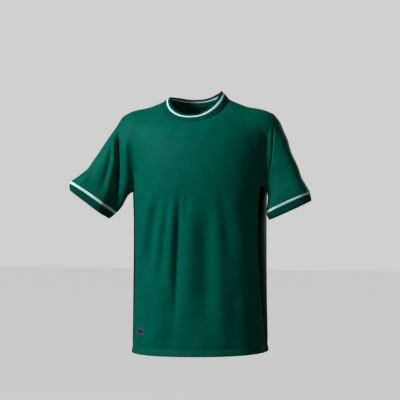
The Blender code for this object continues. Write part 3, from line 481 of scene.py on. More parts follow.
class JerseySewing(bpy.types.PropertyGroup):
    """Sizes of the stitching"""

    stitch: FloatProperty(
        name="Stitch length", description="Length of one stitch with its gap", default=0.0032, unit="LENGTH",
        precision=4,
    )
    thread: FloatProperty(
        name="Thread", description="Thickness of the sewing thread", default=0.0006, unit="LENGTH",
        precision=4,
    )


class JerseyStage(bpy.types.PropertyGroup):
    """Camera and lights"""

    azimuth: FloatProperty(
        name="Azimuth", description="Camera's way round from the front", default=math.radians(10.0),
        subtype="ANGLE",
    )
    distance: FloatProperty(
        name="Distance", description="Camera's distance from its aim", default=2.8, unit="LENGTH"
    )
    width: FloatProperty(
        name="Picture width", description="Width that the picture shows at its aim", default=1.1,
        unit="LENGTH",
    )
    key: FloatProperty(name="Key light", description="Power of the key light", default=134.0, unit="POWER")
    fill: FloatProperty(name="Fill light", description="Power of the fill light", default=6.0, unit="POWER")
    rim: FloatProperty(name="Rim light", description="Power of the rim light", default=5.0, unit="POWER")


def smooth_curve(xs, ys, at):
    """A curve through the table's points with no overshoot (monotone cubic), read at the given places.

    Each point's slope is the weighted harmonic mean of the slopes on its two sides, or 0 at a peak.
    """
    xs = np.asarray(xs, float)
    ys = np.asarray(ys, float)
    order = np.argsort(xs)
    xs = xs[order]
    ys = ys[order]
    h = np.diff(xs)
    d = np.diff(ys) / h
    m = np.zeros(len(xs))
    m[0] = d[0]
    m[-1] = d[-1]
    same = d[:-1] * d[1:] > 0
    w1 = 2 * h[1:] + h[:-1]
    w2 = h[1:] + 2 * h[:-1]
    safe = np.where(same, d[:-1] * d[1:], 1.0)
    m[1:-1] = np.where(same, (w1 + w2) * safe / np.where(same, w1 * d[1:] + w2 * d[:-1], 1.0), 0.0)
    at = np.clip(np.asarray(at, float), xs[0], xs[-1])
    i = np.clip(np.searchsorted(xs, at) - 1, 0, len(h) - 1)
    t = (at - xs[i]) / h[i]
    a = ys[i] * (1 + 2 * t) * (1 - t) ** 2 + ys[i + 1] * t * t * (3 - 2 * t)
    return a + h[i] * (m[i] * t * (1 - t) ** 2 - m[i + 1] * t * t * (1 - t))


def table_reader(columns, rows, step):
    """A quick reader of one table: column name and place in the first column to value."""
    first = [row[0] for row in rows]
    at = np.arange(min(first), max(first) + step, step)
    dense = {name: smooth_curve(first, [row[i] for row in rows], at) for i, name in enumerate(columns)}
    return lambda name, where: np.interp(where, at, dense[name])


torso = table_reader(TORSO_COLUMNS, TORSO, 1.0)
side_seam = table_reader(SIDE_COLUMNS, SIDE_SEAMS, 1.0)
edge_height = table_reader(EDGE_COLUMNS, EDGE_HEIGHT, 0.01)
ring = {side: table_reader(RING_COLUMNS, RINGS[side], 0.01) for side in SIDES}


def soft_step(t):
    """0 below 0, 1 above 1, and the cubic 3t^2 - 2t^3 between."""
    t = np.clip(t, 0.0, 1.0)
    return t * t * (3 - 2 * t)


def torso_radius(c, s, z):
    """The level section's superellipse: its radius towards plan direction (c to the left, s to the back)."""
    n = torso("squareness", z)
    b = np.where(s < 0, torso("front", z), torso("back", z))
    return ((np.abs(c) / torso("half_width", z)) ** n + (np.abs(s) / b) ** n) ** (-1 / n)


def torso_gap(p):
    """The distance outside the body: plan radius less the section's radius, over the length of its slope."""
    r = np.hypot(p[..., 0], p[..., 1]) + 1e-9
    c = p[..., 0] / r
    s = p[..., 1] / r
    here = torso_radius(c, s, p[..., 2])
    step = 2.0
    slope = (torso_radius(c, s, p[..., 2] + step) - torso_radius(c, s, p[..., 2] - step)) / (2 * step)
    return (r - here) / np.sqrt(1 + slope * slope)


def tube_gap(p, side):
    """The distance outside an arm tube: the least distance to its tapered lengths, with depth squeezed."""
    best = None
    rows = np.array(TUBES[side])
    scale = np.array((1.0, TUBE_FLAT, 1.0))
    for a, b in zip(rows[:-1], rows[1:]):
        along_it = (b[:3] - a[:3]) * scale
        v = (p - a[:3]) * scale
        t = np.clip((v @ along_it) / (along_it @ along_it), 0.0, 1.0)
        d = np.linalg.norm(v - t[..., None] * along_it, axis=-1) - (a[3] + t * (b[3] - a[3]))
        best = d if best is None else np.minimum(best, d)
    return best


def form(p, fading):
    """The garment's surface is where this is zero: the least of the body's and the tubes' distances, rounded
    by a quarter of the square of how alike they are. With fading, the arms end at the underarm."""
    away = ARM_END_RATE * np.maximum(ARM_END_Z - p[..., 2], 0.0) if fading else 0.0
    d = torso_gap(p)
    for side in SIDES:
        arm = tube_gap(p, side) + away
        alike = np.maximum(BLEND - np.abs(d - arm), 0.0) / BLEND
        d = np.minimum(d, arm) - alike * alike * BLEND / 4
    return d


def first_crossing(start, direction, reach, fading, steps=RAY_STEPS):
    """Along each ray, the first place where the form changes sign, closed in on by halving."""
    t = np.linspace(0.0, reach, steps)
    p = start[:, None, :] + t[None, :, None] * direction[:, None, :]
    f = form(p, fading)
    change = f[:, :-1] * f[:, 1:] <= 0
    i = np.where(change.any(axis=1), change.argmax(axis=1), steps - 2)
    low = t[i]
    high = t[i + 1]
    sign = np.sign(f[np.arange(len(start)), i])
    for _ in range(HALVINGS):
        mid = (low + high) / 2
        same = np.sign(form(start + mid[:, None] * direction, fading)) == sign
        low = np.where(same, mid, low)
        high = np.where(same, high, mid)
    return start + ((low + high) / 2)[:, None] * direction


def form_normal(p, fading):
    """The outward normal at points on the form: its gradient, made 1 long."""
    steps = np.eye(3)
    n = np.stack([form(p + e, fading) - form(p - e, fading) for e in steps], axis=-1)
    return n / np.linalg.norm(n, axis=-1, keepdims=True)


def seen_from(x, z, front):
    """The surface point at x and z that faces the front, or the back."""
    x = np.asarray(x, float)
    z = np.broadcast_to(np.asarray(z, float), x.shape)
    start = np.stack([x.ravel(), np.full(x.size, -RAY_FROM_Y if front else RAY_FROM_Y), z.ravel()], axis=1)
    direction = np.zeros_like(start)
    direction[:, 1] = 1.0 if front else -1.0
    return first_crossing(start, direction, RAY_FROM_Y - 1, True, FINE_RAY_STEPS).reshape(x.shape + (3,))


def neck_oval(bearing):
    """Cosine and sine for an oval that is a little fuller than an ellipse at the front."""
    a = np.radians(np.asarray(bearing, float))
    c = np.cos(a)
    s = np.sin(a)
    full = np.where(s > 0, NECK_FULLNESS, 1.0)
    return np.sign(c) * np.abs(c) ** full, np.sign(s) * np.abs(s) ** full


def neckline(bearing):
    """The collar seam, at degrees round from the left side towards the front, dropped onto the form."""
    c, s = neck_oval(bearing)
    middle = (NECK_BACK - NECK_FRONT) / 2
    depth = (NECK_BACK + NECK_FRONT) / 2
    start = [NECK_HALF_WIDTH * c, middle - depth * s, np.full(c.shape, RAY_FROM_Z)]
    start = np.stack(start, axis=-1).reshape(-1, 3)
    direction = np.tile((0.0, 0.0, -1.0), (len(start), 1))
    return first_crossing(start, direction, RAY_DOWN, True, FINE_RAY_STEPS).reshape(c.shape + (3,))


def collar_edge(bearing):
    """The collar's inner edge, an oval in plan whose height is read from its table, and on the left is lifted
    by EDGE_LIFT times the square of the cosine."""
    c, s = neck_oval(bearing)
    y = (EDGE_BACK - EDGE_FRONT) / 2 - (EDGE_BACK + EDGE_FRONT) / 2 * s
    z = edge_height("z", s) + EDGE_LIFT * np.maximum(c, 0.0) ** 2
    return np.stack([EDGE_HALF_WIDTH * c, y, z], axis=-1)


def along(points, fraction):
    """Places at fractions of the length of a line through points, smoothly."""
    points = np.asarray(points, float)
    length = np.concatenate([[0], np.cumsum(np.linalg.norm(np.diff(points, axis=0), axis=1))])
    at = np.asarray(fraction, float) * length[-1]
    return np.stack([smooth_curve(length, points[:, k], at) for k in range(points.shape[1])], axis=-1)


def raglan(front, fraction):
    """x and z of the raglan seam from the neckline to the underarm, for the wearer's left."""
    top = neckline(np.array(RAGLAN_NECK_FRONT if front else RAGLAN_NECK_BACK))
    rows = RAGLAN_FRONT if front else RAGLAN_BACK
    bearing = math.radians(side_seam("left_front", UNDERARM_Z) if front else BACK_CORNER)
    foot = torso_radius(math.cos(bearing), -math.sin(bearing), UNDERARM_Z) * math.cos(bearing)
    line = [(top[0], top[2])] + [(x, z) for z, x in rows] + [(foot, UNDERARM_Z)]
    return along(line, fraction)


def side_point(side, bearing, z):
    """The body's surface at degrees round from one side towards the front."""
    a = np.radians(bearing)
    z = np.broadcast_to(z, a.shape)
    r = torso_radius(np.cos(a), -np.sin(a), z)
    x = r * np.cos(a)
    return np.stack([x if side == "left" else -x, -r * np.sin(a), z], axis=-1)


def body_point(x, z, front):
    """The body's surface at x and z: y is the reach times (1 - (x / half-width)^n)^(1/n)."""
    n = torso("squareness", z)
    reach = -torso("front", z) if front else torso("back", z)
    y = reach * np.maximum(1 - (np.abs(x) / torso("half_width", z)) ** n, 0.0) ** (1 / n)
    return np.stack([x, y, np.broadcast_to(z, x.shape)], axis=-1)


def heights():
    """Levels of the rows from the underarm to the hem."""
    return np.linspace(UNDERARM_Z, HEM_Z, BODY_ROWS + 1)


def half_panel(front, fractions, spread):
    """Front or back: rows down the raglan that bow down in the middle, then level rows to the hem."""
    seam = raglan(front, fractions)
    neck = math.cos(math.radians(RAGLAN_NECK_FRONT if front else -RAGLAN_NECK_BACK))
    across = np.degrees(np.arccos(np.clip(spread * neck, -1, 1)))
    top = neckline(across if front else -across)
    middle = top[len(spread) // 2, 2]
    f = fractions[1:, None]
    x = seam[1:, :1] * spread
    z = seam[1:, 1:]
    upper = seen_from(x, z + (middle + (UNDERARM_Z - middle) * f - z) * (1 - spread**2), front)
    z = heights()[1:, None]
    if front:
        left = side_point("left", side_seam("left_front", z), z)[..., 0]
        right = side_point("right", side_seam("right_front", z), z)[..., 0]
    else:
        left = side_point("left", np.full(z.shape, BACK_CORNER), z)[..., 0]
        right = -left
    lower = body_point((left + right) / 2 + (left - right) / 2 * spread, z, front)
    return np.concatenate([top[None], upper, lower])


def ring_points(side, at, angle):
    """Points on a sleeve's ring, an ellipse with four reaches: 0 degrees is the outer side, 90 the front."""
    read = ring[side]
    sign = 1.0 if side == "left" else -1.0
    rise = math.radians(read("rise", at))
    turn = math.radians(read("turn", at))
    level = math.cos(rise)
    outward = np.array((sign * level * math.cos(turn), sign * level * math.sin(turn), math.sin(rise)))
    forward = np.array((0.0, -1.0, 0.0))
    forward = forward - (forward @ outward) * outward
    forward = forward / np.linalg.norm(forward)
    up = np.cross(outward, forward) * -sign
    lean = math.radians(read("lean", at))
    forward = forward * math.cos(lean) + up * math.sin(lean)
    c = np.cos(np.radians(angle))
    s = np.sin(np.radians(angle))
    u = c * np.where(c > 0, read("outer", at), read("inner", at))
    v = s * np.where(s > 0, read("front", at), read("back", at))
    centre = np.array([read("x", at), read("y", at), read("z", at)])
    return centre + u[:, None] * outward + v[:, None] * forward


def cap_row(front_point, crest_point, back_point, share, counts):
    """One row of a sleeve above the underarm: rays fan out from inside the arm, in the plane of the three
    points, to the form, and the points on it are spread evenly over each half's length. Rays that slip past
    the seam take their neighbours' length."""
    middle = (front_point + back_point) / 2
    centre = middle + (crest_point - middle) * (CAP_START[0] + CAP_START[1] * share)
    e1 = crest_point - centre
    e1 = e1 / np.linalg.norm(e1)
    v = front_point - centre
    e2 = v - (v @ e1) * e1
    e2 = e2 / np.linalg.norm(e2)
    start = math.atan2(v @ e2, v @ e1)
    w = back_point - centre
    end = math.atan2(w @ e2, w @ e1)
    if end > 0:
        end -= 2 * math.pi
    halves = []
    for a, b, count in ((start, 0.0, counts[0]), (0.0, end, counts[1])):
        angles = np.linspace(a, b, CAP_RAYS)
        rays = np.cos(angles)[:, None] * e1 + np.sin(angles)[:, None] * e2
        p = first_crossing(np.tile(centre, (CAP_RAYS, 1)), rays, CAP_REACH, False)
        seam, end_ray = (front_point, 0) if a != 0.0 else (back_point, -1)
        p[end_ray] = seam
        radius = np.linalg.norm(p - centre, axis=1)
        near = radius <= CAP_LONGEST * max(radius[end_ray], np.median(radius))
        radius = np.interp(np.arange(CAP_RAYS), np.flatnonzero(near), radius[near])
        p = centre + radius[:, None] * rays
        p[end_ray] = seam
        length = np.concatenate([[0], np.cumsum(np.linalg.norm(np.diff(p, axis=0), axis=1))])
        want = np.linspace(0, length[-1], count + 1)
        halves.append(np.stack([np.interp(want, length, p[:, k]) for k in range(3)], axis=1))
    return np.concatenate([halves[0], halves[1][1:]])


def clear_of_body(p, clearance, backward):
    """Points moved straight out of the body until they are clear of it, by more towards the back.

    The move starts softly, CLEAR_SOFT before it is needed, as a square over four times that distance.
    """
    r = np.hypot(p[..., 0], p[..., 1])
    c = p[..., 0] / r
    s = p[..., 1] / r
    more = backward * np.clip(p[..., 1] - CLEAR_FROM_Y, 0.0, CLEAR_REACH)
    short = clearance + more - (r - torso_radius(c, s, p[..., 2]))
    soft = np.clip(short + CLEAR_SOFT, 0.0, None) ** 2 / (4 * CLEAR_SOFT)
    move = np.where(short > CLEAR_SOFT, short, soft)
    q = p.copy()
    q[..., 0] += c * move
    q[..., 1] += s * move
    return q


def sleeve_cap(side, fractions):
    """A sleeve's rows above the underarm, from the front raglan seam over the shoulder to the back one."""
    sign = 1.0 if side == "left" else -1.0
    seams = []
    for front in (True, False):
        xz = raglan(front, fractions) * (sign, 1.0)
        line = seen_from(xz[:, 0], xz[:, 1], front)
        bearing = RAGLAN_NECK_FRONT if front else RAGLAN_NECK_BACK
        line[0] = neckline(np.array(bearing if side == "left" else 180 - bearing))
        seams.append(line)
    crest = along(CREST[side], fractions)
    fore = np.linspace(RAGLAN_NECK_FRONT, 0, ARM_COLUMNS[0] + 1)
    aft = np.linspace(0, RAGLAN_NECK_BACK, ARM_COLUMNS[1] + 1)[1:]
    angles = np.concatenate([fore, aft])
    rows = [neckline(angles if side == "left" else 180 - angles)]
    for f, a, k, b in zip(fractions[1:], seams[0][1:], crest[1:], seams[1][1:]):
        rows.append(cap_row(a, k, b, f, ARM_COLUMNS))
    return np.array(rows)


def sleeve_rings(side, first, places):
    """Rings from the underarm row to the cuff's end. They start as the underarm row and turn into the table's
    ellipses, then the upper ones are eased towards their neighbours' mean and kept clear of the body."""
    edges = np.linalg.norm(np.diff(np.concatenate([first, first[:1]]), axis=0), axis=1)
    fore, m = ARM_COLUMNS[0], sum(ARM_COLUMNS)
    front_share = np.concatenate([[0], np.cumsum(edges[:fore])]) / edges[:fore].sum()
    back_share = np.concatenate([[0], np.cumsum(edges[fore:m])]) / edges[fore:m].sum()
    strip_share = np.cumsum(edges[m:])[:-1] / edges[m:].sum()
    reach = 180 - UNDERARM_OPEN
    angle = [reach * (1 - front_share), -reach * back_share[1:], -reach - 2 * UNDERARM_OPEN * strip_share]
    angle = np.concatenate(angle)
    difference = first - ring_points(side, 0.0, angle)
    fade = np.maximum(0.0, 1 - places / RING_TAKES_OVER) ** 2
    rings = np.array([ring_points(side, at, angle) for at in places]) + difference * fade[:, None, None]
    rings[0] = first
    upper = places[1:SLEEVE_ROWS, None]
    weight = ((1 - upper) ** EASE_POWER)[..., None]
    share = 1 - (1 - np.minimum(1.0, upper / CLEAR_WHOLE)) ** 2
    clearance = SEAM_CLEAR + (SLEEVE_CLEAR[side] - SEAM_CLEAR) * share
    for _ in range(EASE_ROUNDS):
        around = np.roll(rings, 1, axis=1) + np.roll(rings, -1, axis=1)
        mean = (rings[: SLEEVE_ROWS - 1] + rings[2 : SLEEVE_ROWS + 1] + around[1:SLEEVE_ROWS]) / 4
        rings[1:SLEEVE_ROWS] += weight * (mean - rings[1:SLEEVE_ROWS])
        rings[1:SLEEVE_ROWS] = clear_of_body(rings[1:SLEEVE_ROWS], clearance, CLEAR_BACKWARD * share)
    rings[SLEEVE_ROWS:] = clear_of_body(rings[SLEEVE_ROWS:], CUFF_CLEAR[side], 0.0)
    return rings


def eased(grid, weight, rounds):
    """A grid whose inner points move by their weights towards their four neighbours' mean, round by round."""
    grid = grid.copy()
    for _ in range(rounds):
        mean = (grid[:-2, 1:-1] + grid[2:, 1:-1] + grid[1:-1, :-2] + grid[1:-1, 2:]) / 4
        grid[1:-1, 1:-1] += weight[1:-1, 1:-1, None] * (mean - grid[1:-1, 1:-1])
    return grid


def flattened(grid, weight):
    """A sleeve's grid with each row's depth y turned from q, -1 at its back and 1 at its front, into
    FLAT_EDGE q - (FLAT_EDGE - FLAT_FACE) q |q|, times its half depth: flatter faces and a fuller edge."""
    low = grid[..., 1].min(axis=1, keepdims=True)
    high = grid[..., 1].max(axis=1, keepdims=True)
    middle = (low + high) / 2
    half = (high - low) / 2
    q = (grid[..., 1] - middle) / half
    flat = middle + half * (FLAT_EDGE * q - (FLAT_EDGE - FLAT_FACE) * q * np.abs(q))
    out = grid.copy()
    out[..., 1] += weight * (flat - grid[..., 1])
    return out


def finer(grid, axis, closed=False):
    """Twice as many steps along one axis. A new point is 9/16 of each neighbour less 1/16 of the next two."""
    grid = np.moveaxis(grid, axis, 0)
    if closed:
        around = np.concatenate([grid[-1:], grid, grid[:2]])
    else:
        around = np.concatenate([2 * grid[:1] - grid[1:2], grid, 2 * grid[-1:] - grid[-2:-1]])
    middle = (9 * (around[1:-2] + around[2:-1]) - around[:-3] - around[3:]) / 16
    out = np.empty((len(grid) + len(middle),) + grid.shape[1:])
    out[0::2] = grid
    out[1::2] = middle
    return np.moveaxis(out, 0, axis)


def settle(points):
    """The finished place of points: neck and hem tilt a little and the body hangs a little to the left."""
    p = np.asarray(points, float).copy()
    down = soft_step(-p[..., 2] / SWAY_DEPTH)
    p[..., 0] += SWAY * down
    x = p[..., 0]
    p[..., 2] += NECK_TILT * x * np.exp(-((x / NECK_TILT_HALF) ** 2)) * (1 - down) + HEM_TILT * x * down
    return p


def grid_normals(points, closed):
    """Normals of a grid of points: the step across crossed with the step down."""
    if closed:
        across = np.roll(points, -1, axis=1) - np.roll(points, 1, axis=1)
    else:
        across = np.gradient(points, axis=1)
    n = np.cross(across, np.gradient(points, axis=0))
    return n / np.maximum(np.linalg.norm(n, axis=-1, keepdims=True), 1e-9)


def fold_height(x, z, rows):
    """The sum of the folds at x and z. A fold is a bell curve across its line, which bows by half a sine
    wave, times soft steps that fade it in over its first part and out over its last."""
    total = np.zeros(np.shape(x))
    for x_top, z_top, x_mid, z_mid, x_foot, z_foot, half_top, half_foot, height in rows:
        t = (z_top - z) / (z_top - z_foot)
        bend = (z_top - z_mid) / (z_top - z_foot)
        off = (x_mid - (x_top + (x_foot - x_top) * bend)) / math.sin(math.pi * bend)
        inside = np.clip(t, 0.0, 1.0)
        line = x_top + (x_foot - x_top) * inside + off * np.sin(math.pi * inside)
        half = half_top + (half_foot - half_top) * inside
        fade = soft_step(t / FOLD_FADE[0]) * soft_step((1 - t) / FOLD_FADE[1])
        total = total + height * fade * np.exp(-(((x - line) / half) ** 2))
    return total


def waviness(p):
    """Slight waves in the cloth, from -1 to 1: products of sines of place, 57 to 107 mm from crest to crest
    across the cloth and longer down it."""
    x, y, z = (p[..., k] for k in range(3))
    a = np.sin(x / 9.0 + 1.3 * np.sin(z / 31.0)) * np.sin(z / 37.0 + 0.8 * np.sin(y / 23.0))
    b = np.sin(x / 14.0 - z / 61.0 + 2.0) * np.sin(y / 17.0 + z / 43.0 + 1.0)
    return 0.6 * a + 0.4 * b


def drape_now():
    """The share of the folds' height and the waviness in millimetres, as they are set now."""
    cloth = bpy.context.scene.jersey_cloth
    return cloth.folds, cloth.waviness / MM


def draped(points, normals, sleeve, drape):
    """Points moved along their normals by the folds of the side that they face, and by the waviness."""
    x = points[..., 0]
    z = points[..., 2]
    front = soft_step((-normals[..., 1] - FACING[0]) / (FACING[1] - FACING[0]))
    back = soft_step((normals[..., 1] - FACING[0]) / (FACING[1] - FACING[0]))
    arm = 1.0 if sleeve else soft_step((z - UNDERARM_Z) / SLEEVE_FOLD_END)
    move = front * (fold_height(x, z, FRONT_FOLDS) + arm * fold_height(x, z, SLEEVE_FRONT_FOLDS))
    move = move + back * (fold_height(x, z, BACK_FOLDS) + arm * fold_height(x, z, SLEEVE_BACK_FOLDS))
    folds, wavy = drape
    move = move * folds + waviness(points) * wavy
    return points + move[..., None] * normals


def draped_body(points, drape):
    """Points of the body with their folds, and the form's normals at them."""
    normals = form_normal(points, True)
    return draped(points, normals, False, drape), normals


def inserted(grid, axis, ends):
    """The grid with rows or columns added within its first and last steps, by straight interpolation."""
    grid = np.moveaxis(grid, axis, 0)
    shares = np.array(EDGE_STEPS).reshape((-1,) + (1,) * (grid.ndim - 1))
    parts = [grid[:1], grid[0] + (grid[1] - grid[0]) * shares] if ends[0] else [grid[:1]]
    parts.append(grid[1:-1])
    if ends[1]:
        parts.append(grid[-2] + (grid[-1] - grid[-2]) * shares)
    parts.append(grid[-1:])
    return np.moveaxis(np.concatenate(parts), 0, axis)


def length_along(points, axis):
    """Running length along the rows or the columns of a grid of points."""
    steps = np.linalg.norm(np.diff(points, axis=axis), axis=-1)
    pad = [(0, 0), (0, 0)]
    pad[axis] = (1, 0)
    return np.pad(np.cumsum(steps, axis=axis), pad)


def seam_relief(distance, run):
    """How a seam moves the cloth beside it: a groove shaped as a bell curve, and puckers, a sine wave of the
    length along the seam that dies away with distance."""
    groove = -GROOVE * np.exp(-((distance / GROOVE_HALF) ** 2))
    turn = 2 * math.pi * run / PUCKER_PITCH + PUCKER_UNEVEN * np.sin(run / PUCKER_UNEVEN_LENGTH)
    wave = np.sin(turn)
    return groove + PUCKER * wave * np.exp(-distance / PUCKER_REACH)


def hem_relief(points):
    """How the hem's two stitch rows pull the cloth in, a bell curve across each row, and how it stands out
    below them, in proportion to the way down."""
    up = points[..., 2] - HEM_Z
    flare = HEM_FLARE * np.clip(1 - up / HEM_ROWS_UP[0], 0.0, 1.0)
    return flare - HEM_PULL * sum(np.exp(-(((up - row) / HEM_PULL_HALF) ** 2)) for row in HEM_ROWS_UP)


def trunk_grids(drape):
    """The front and back down to the hem, and each side below its underarm: the side panel and the wrap,
    which carries the back a little round to the front. Neighbours share the points along their seam."""
    fractions = np.linspace(0, 1, CAP_ROWS + 1)
    z = heights()[:, None]
    pieces = {}
    for name, front, count, bow in (
        ("front", True, FRONT_COLUMNS, FRONT_BOW),
        ("back", False, BACK_COLUMNS, BACK_BOW),
    ):
        t = np.linspace(-1, 1, count + 1)
        spread = np.sin(bow * math.pi * t) / math.sin(bow * math.pi)
        pieces[name] = draped_body(half_panel(front, fractions, spread), drape)
    for side in SIDES:
        back_at = side_seam(side + "_back", z)
        front_at = side_seam(side + "_front", z)
        for name, start, end, count in (
            ("wrap_", BACK_CORNER, back_at, WRAP_COLUMNS),
            ("side_panel_", back_at, front_at, PANEL_COLUMNS),
        ):
            bearing = start + (end - start) * np.linspace(0, 1, count + 1)[None, :]
            pieces[name + side] = draped_body(side_point(side, bearing, z), drape)
        column = -1 if side == "left" else 0
        for name, edge, other in (("wrap_", 0, "back"), ("side_panel_", -1, "front")):
            for mine, theirs in zip(pieces[name + side], pieces[other]):
                mine[:, edge] = theirs[CAP_ROWS:, column]
        for mine, theirs in zip(pieces["side_panel_" + side], pieces["wrap_" + side]):
            mine[:, 0] = theirs[:, -1]
    return pieces


def sleeve_form(side, under):
    """A sleeve's cap and rings before their folds: eased near the underarm, flattened and bent forward. The
    rings start with the cap's last row and the underarm strip, which under gives."""
    fractions = np.linspace(0, 1, CAP_ROWS + 1)
    m = sum(ARM_COLUMNS)
    cap = sleeve_cap(side, fractions)
    cuff = np.linspace(*CUFF_AT, CUFF_ROWS + 1)[1:]
    places = np.concatenate([np.linspace(0, 1, SLEEVE_ROWS + 1), STRIPE_AT[1:], cuff])
    rings = sleeve_rings(side, np.concatenate([cap[-1], under]), places)
    arm = np.concatenate([cap, rings[1:, : m + 1]])
    away = np.abs(np.arange(len(arm)) - CAP_ROWS) / UNDERARM_ROWS
    near = np.repeat(soft_step(UNDERARM_EDGE - away)[:, None], m + 1, axis=1)
    arm = eased(arm, near, UNDERARM_ROUNDS)
    cap = arm[: CAP_ROWS + 1]
    rings[:, : m + 1] = arm[CAP_ROWS:]

    from_front = np.arange(m + 1) / (FLAT_SEAM_SHARES[0] * ARM_COLUMNS[0])
    from_back = np.arange(m, -1, -1) / (FLAT_SEAM_SHARES[1] * ARM_COLUMNS[1])
    inside = soft_step(np.minimum(from_front, from_back))
    down = soft_step((FLAT_Z[0] - cap[..., 2]) / (FLAT_Z[0] - FLAT_Z[1]))
    cap = flattened(cap, down * inside)
    bend = np.clip((fractions - FORWARD_FROM) / (1 - FORWARD_FROM), 0.0, 1.0) ** 2
    cap[..., 1] -= FORWARD[side] * bend[:, None] * inside

    inside = np.concatenate([inside, np.zeros(rings.shape[1] - m - 1)])
    unbend = (1 - np.minimum(places, 1.0))[:, None] ** 2 * inside
    strip = soft_step((places - FLAT_STRIP[0]) / (FLAT_STRIP[1] - FLAT_STRIP[0]))[:, None]
    rings = flattened(rings, inside + (1 - inside) * strip)
    rings[..., 1] -= FORWARD[side] * unbend
    rings[0, : m + 1] = cap[-1]
    return cap, rings


def sleeve_grid(side, pieces, drape):
    """A sleeve's points and normals with its folds, on rows and columns twice as fine. Its first and last
    columns above the underarm are the body's raglan edges. The last is repeated there over the width of the
    underarm strip, where no squares are made."""
    wrap = pieces["wrap_" + side][0][0, 1:]
    panel = pieces["side_panel_" + side][0][0, 1:-1]
    cap, rings = sleeve_form(side, np.concatenate([wrap, panel]) + np.array((0.0, 0.0, UNDERARM_LIFT)))
    m = 2 * sum(ARM_COLUMNS)
    last = 2 * CAP_ROWS
    arm = finer(finer(np.concatenate([cap, rings[1:, : m // 2 + 1]]), 0), 1)
    rings = finer(finer(rings, 0), 1, closed=True)
    arm_normals = grid_normals(arm, False)
    ring_normals = grid_normals(rings, True)
    if (arm_normals[last, 2 * ARM_COLUMNS[0], 0] > 0) != (side == "left"):
        arm_normals = -arm_normals
        ring_normals = -ring_normals
    ring_normals[:, : m + 1] = arm_normals[last:]
    ring_normals[0, m + 1 :] = (0.0, 0.0, -1.0)

    column = -1 if side == "left" else 0
    arm = draped(arm, arm_normals, True, drape)
    arm[: last + 1, 0] = finer(pieces["front"][0][: CAP_ROWS + 1, column], 0)
    arm[: last + 1, -1] = finer(pieces["back"][0][: CAP_ROWS + 1, column], 0)
    strip = rings[0, m + 1 :].copy()
    rings = draped(rings, ring_normals, True, drape)
    rings[0, m + 1 :] = strip
    rings[0, : m + 1] = arm[last]
    whole = []
    for upper, lower in ((arm, rings), (arm_normals, ring_normals)):
        fill = np.repeat(upper[:last, -1:], rings.shape[1] - arm.shape[1], axis=1)
        whole.append(np.concatenate([np.concatenate([upper[:last], fill], axis=1), lower]))
    return tuple(whole)


@functools.lru_cache(maxsize=1)
def draped_garment(*drape):
    """Every grid of the garment for one setting of the folds."""
    pieces = trunk_grids(drape)
    for side in SIDES:
        pieces["sleeve_" + side] = sleeve_grid(side, pieces, drape)
    return pieces


def garment():
    """All the panels' points and normals in millimetres, by name, before their seams and their settling."""
    return draped_garment(*drape_now())


def edge_relief(distance):
    """How a crossing seam at a panel's end pulls the cloth in: half the groove, as a bell curve."""
    return -GROOVE / 2 * np.exp(-((distance / GROOVE_HALF) ** 2))


def body_relief(points):
    """How the seams round a body panel, its hem and its top edge move its cloth."""
    across = length_along(points, 1)
    down = length_along(points, 0)
    away = np.minimum(across, across[:, -1:] - across)
    return seam_relief(away, down[:, :1]) + hem_relief(points) + edge_relief(down)


def widened_back(part, left, right):
    """The back's points or normals with the wraps beside its lower part, and its own edges repeated above."""
    upper = part[:CAP_ROWS]
    first = np.repeat(upper[:, :1], WRAP_COLUMNS, axis=1)
    last = np.repeat(upper[:, -1:], WRAP_COLUMNS, axis=1)
    lower = np.concatenate([right[:, :0:-1], part[CAP_ROWS:], left[:, 1:]], axis=1)
    return np.concatenate([np.concatenate([first, upper, last], axis=1), lower])


@functools.lru_cache(maxsize=1)
def sewn_panels(*drape):
    """The finished panels for one setting of the folds."""
    pieces = draped_garment(*drape)
    made = {}
    for name in ("front", "side_panel_left", "side_panel_right"):
        points, normals = (inserted(part, 1, (True, True)) for part in pieces[name])
        made[name] = (points + body_relief(points)[..., None] * normals, normals, None)

    points, normals = map(widened_back, pieces["back"], pieces["wrap_left"], pieces["wrap_right"])
    keep = np.ones((points.shape[0] - 1, points.shape[1] - 1), bool)
    keep[:CAP_ROWS, :WRAP_COLUMNS] = False
    keep[:CAP_ROWS, -WRAP_COLUMNS:] = False
    made["back"] = (points + body_relief(points)[..., None] * normals, normals, keep)

    end = 2 * (CAP_ROWS + SLEEVE_ROWS) + 1
    m = 2 * sum(ARM_COLUMNS)
    for side in SIDES:
        points, normals = (part[:end] for part in pieces["sleeve_" + side])
        across = length_along(points, 1)
        down = length_along(points, 0)
        away = np.minimum(across, np.abs(across[:, m : m + 1] - across))
        below = 2 * CAP_ROWS + STRIP_SEAM_ROWS
        middle = (m + points.shape[1]) // 2
        away[below:] = np.abs(across[:, middle : middle + 1] - across)[below:]
        move = seam_relief(away, down[:, :1]) + edge_relief(down) + edge_relief(down[-1:] - down)
        keep = np.ones((points.shape[0] - 1, points.shape[1]), bool)
        keep[: 2 * CAP_ROWS, m:] = False
        made["sleeve_" + side] = (points + move[..., None] * normals, normals, keep)
    return made


def panels():
    """The finished grids: points, normals and which squares are made, with grooves at their seams."""
    return sewn_panels(*drape_now())


def arc_uv(points, closed):
    """Across and down each panel in metres, measured on the cloth, with one more column where it closes."""
    if closed:
        points = np.concatenate([points, points[:, :1]], axis=1)
    u = length_along(points, 1)
    v = length_along(points, 0)
    return np.stack([u - u[:, points.shape[1] // 2][:, None], -v], axis=-1) * MM


